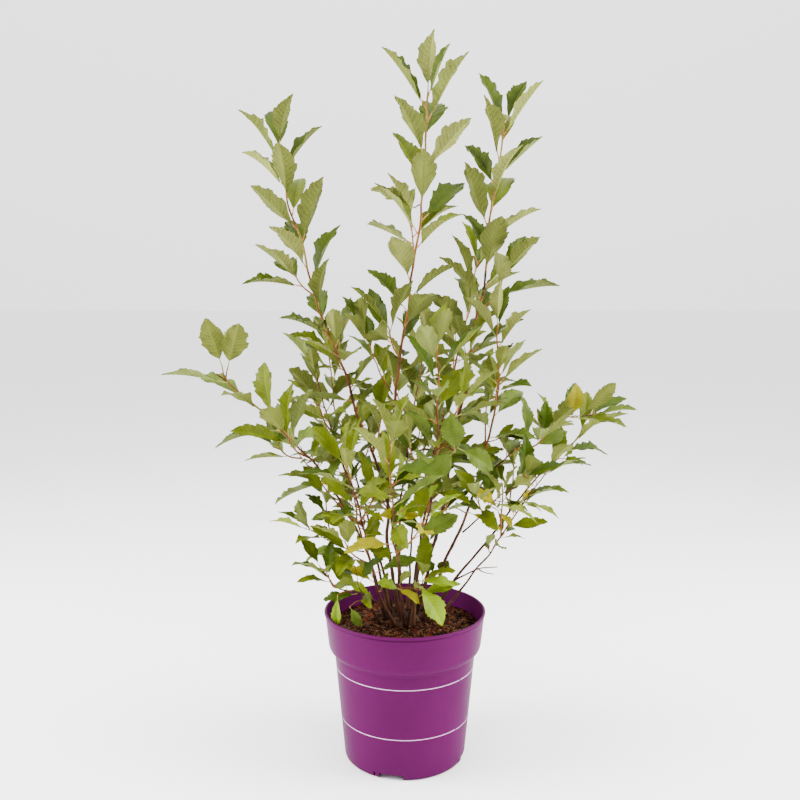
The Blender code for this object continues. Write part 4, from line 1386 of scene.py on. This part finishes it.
def make_chips(edge, draw):
    """Chips of bark strewn over the bed, most of them short."""
    pile = Pile()
    for _ in range(CHIP_COUNT):
        radius = edge * math.sqrt(draw.random()) * CHIP_SPREAD
        x, y = polar(radius, draw.uniform(0, 2 * math.pi))
        length = draw.uniform(*(CHIP_LENGTHS if draw.random() < SHORT_CHIPS else LONG_CHIP_LENGTHS))
        size = [length, length * draw.uniform(*CHIP_WIDTHS), draw.uniform(*CHIP_THICKNESS)]
        shape = BOX * size * MM * np.array([[1 + draw.uniform(*CHIP_UNEVEN)] for _ in BOX])
        spin = draw.uniform(0, 2 * math.pi)
        pitch, roll = [draw.gauss(0, tilt) for tilt in CHIP_TILTS]
        shape = shape @ np.array(Euler((roll, pitch, spin)).to_matrix()).T
        room = min(1, (edge - 1 * MM) / (radius + length / 2 * MM))
        height = soil_point(x, y, draw.uniform(*CHIP_RISE) * MM)[2]
        pile.add(shape + (x * room, y * room, height), BOX_FACES, draw.choice(CHIP_TONES))
    pile.build("bark_chips", soil_materials("chip", CHIP_COLOURS, 0.6, 600), "soil", smooth=False)


def make_fibres(edge, draw):
    """Thin fibres that lie curled on the bed."""
    pile = Pile()
    for _ in range(FIBRE_COUNT):
        radius = (edge - FIBRE_MARGIN) * math.sqrt(draw.random())
        x, y = polar(radius, draw.uniform(0, 2 * math.pi))
        way = draw.uniform(0, 2 * math.pi)
        turn = draw.uniform(-FIBRE_CURL, FIBRE_CURL)
        length = draw.uniform(*FIBRE_LENGTHS) * MM
        line = []
        for share in np.linspace(-0.5, 0.5, FIBRE_POINTS):
            step = polar(length * share, way + turn * share)
            line.append(soil_point(x + step[0], y + step[1], draw.uniform(*FIBRE_RISE) * MM))
        pile.add(*tube_shape(line, [draw.uniform(*FIBRE_RADII) * MM] * FIBRE_POINTS, 4), draw.choice((0, 1)))
    pile.build("bark_fibres", soil_materials("fibre", FIBRE_COLOURS, 0.7, 500), "soil")


def make_soil():
    """Loose compost: a lumpy bed with chips of bark and fibres on it."""
    edge = inner_radius(SOIL_EDGE) - SOIL_GAP
    draw = random.Random(SOIL_SEED)
    make_bed(edge)
    make_chips(edge, draw)
    make_fibres(edge, draw)


def make_stage():
    """A plain pale floor."""
    mesh = bpy.data.meshes.new("floor")
    mesh.from_pydata(BOX[:4] * (FLOOR_SIZE, FLOOR_SIZE, 0), [], [(0, 1, 2, 3)])
    low, high = [(tone, tone, tone) for tone in FLOOR_TONES]
    paint = Paint("floor_paint", low, 0.8, 0.1)
    mesh.materials.append(paint.finish(paint.mix(paint.noise(3), low, high), 0.8))
    linked("floor", mesh)


def make_studio():
    """White surroundings, dim in front and bright behind, with a soft box on each side and one overhead."""
    world = bpy.data.worlds.new("studio")
    world.use_nodes = True
    graph = Graph(world)
    sweep = graph.between(graph.split(graph.place["Generated"], "Y"), -1, 1, WORLD_FRONT, WORLD_BACK)
    ceiling = graph.between(graph.split(graph.place["Generated"], "Z"), 0, 1, 0, WORLD_TOP)
    background = world.node_tree.nodes["Background"]
    graph.set(background.inputs["Color"], (1, 1, 1))
    graph.set(background.inputs["Strength"], graph.add(sweep, ceiling))
    bpy.context.scene.world = world
    for name, place, size, power in LIGHTS:
        data = bpy.data.lights.new(name, "AREA")
        data.shape = "RECTANGLE"
        data.size, data.size_y = size
        data.energy = power
        light = linked(name, data)
        light.location = place
        light.rotation_euler = (Vector(LIGHTS_AIM) - Vector(place)).to_track_quat("-Z", "Y").to_euler()


def make_camera():
    data = bpy.data.cameras.new("camera")
    data.lens = CAMERA_LENS
    data.clip_end = 200
    camera = linked("camera", data)
    camera.location = CAMERA_PLACE
    camera.rotation_euler = (math.radians(90 - CAMERA_PITCH), 0, 0)
    bpy.context.scene.camera = camera


def main():
    """Loads the frame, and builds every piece."""
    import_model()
    make_camera()
    make_stage()
    make_studio()
    make_pot()
    make_lines()
    make_soil()
    limbs, masses = grow_plant()
    barks = make_canes(limbs)
    make_root_stock()
    make_foliage(limbs, masses, barks)


main()
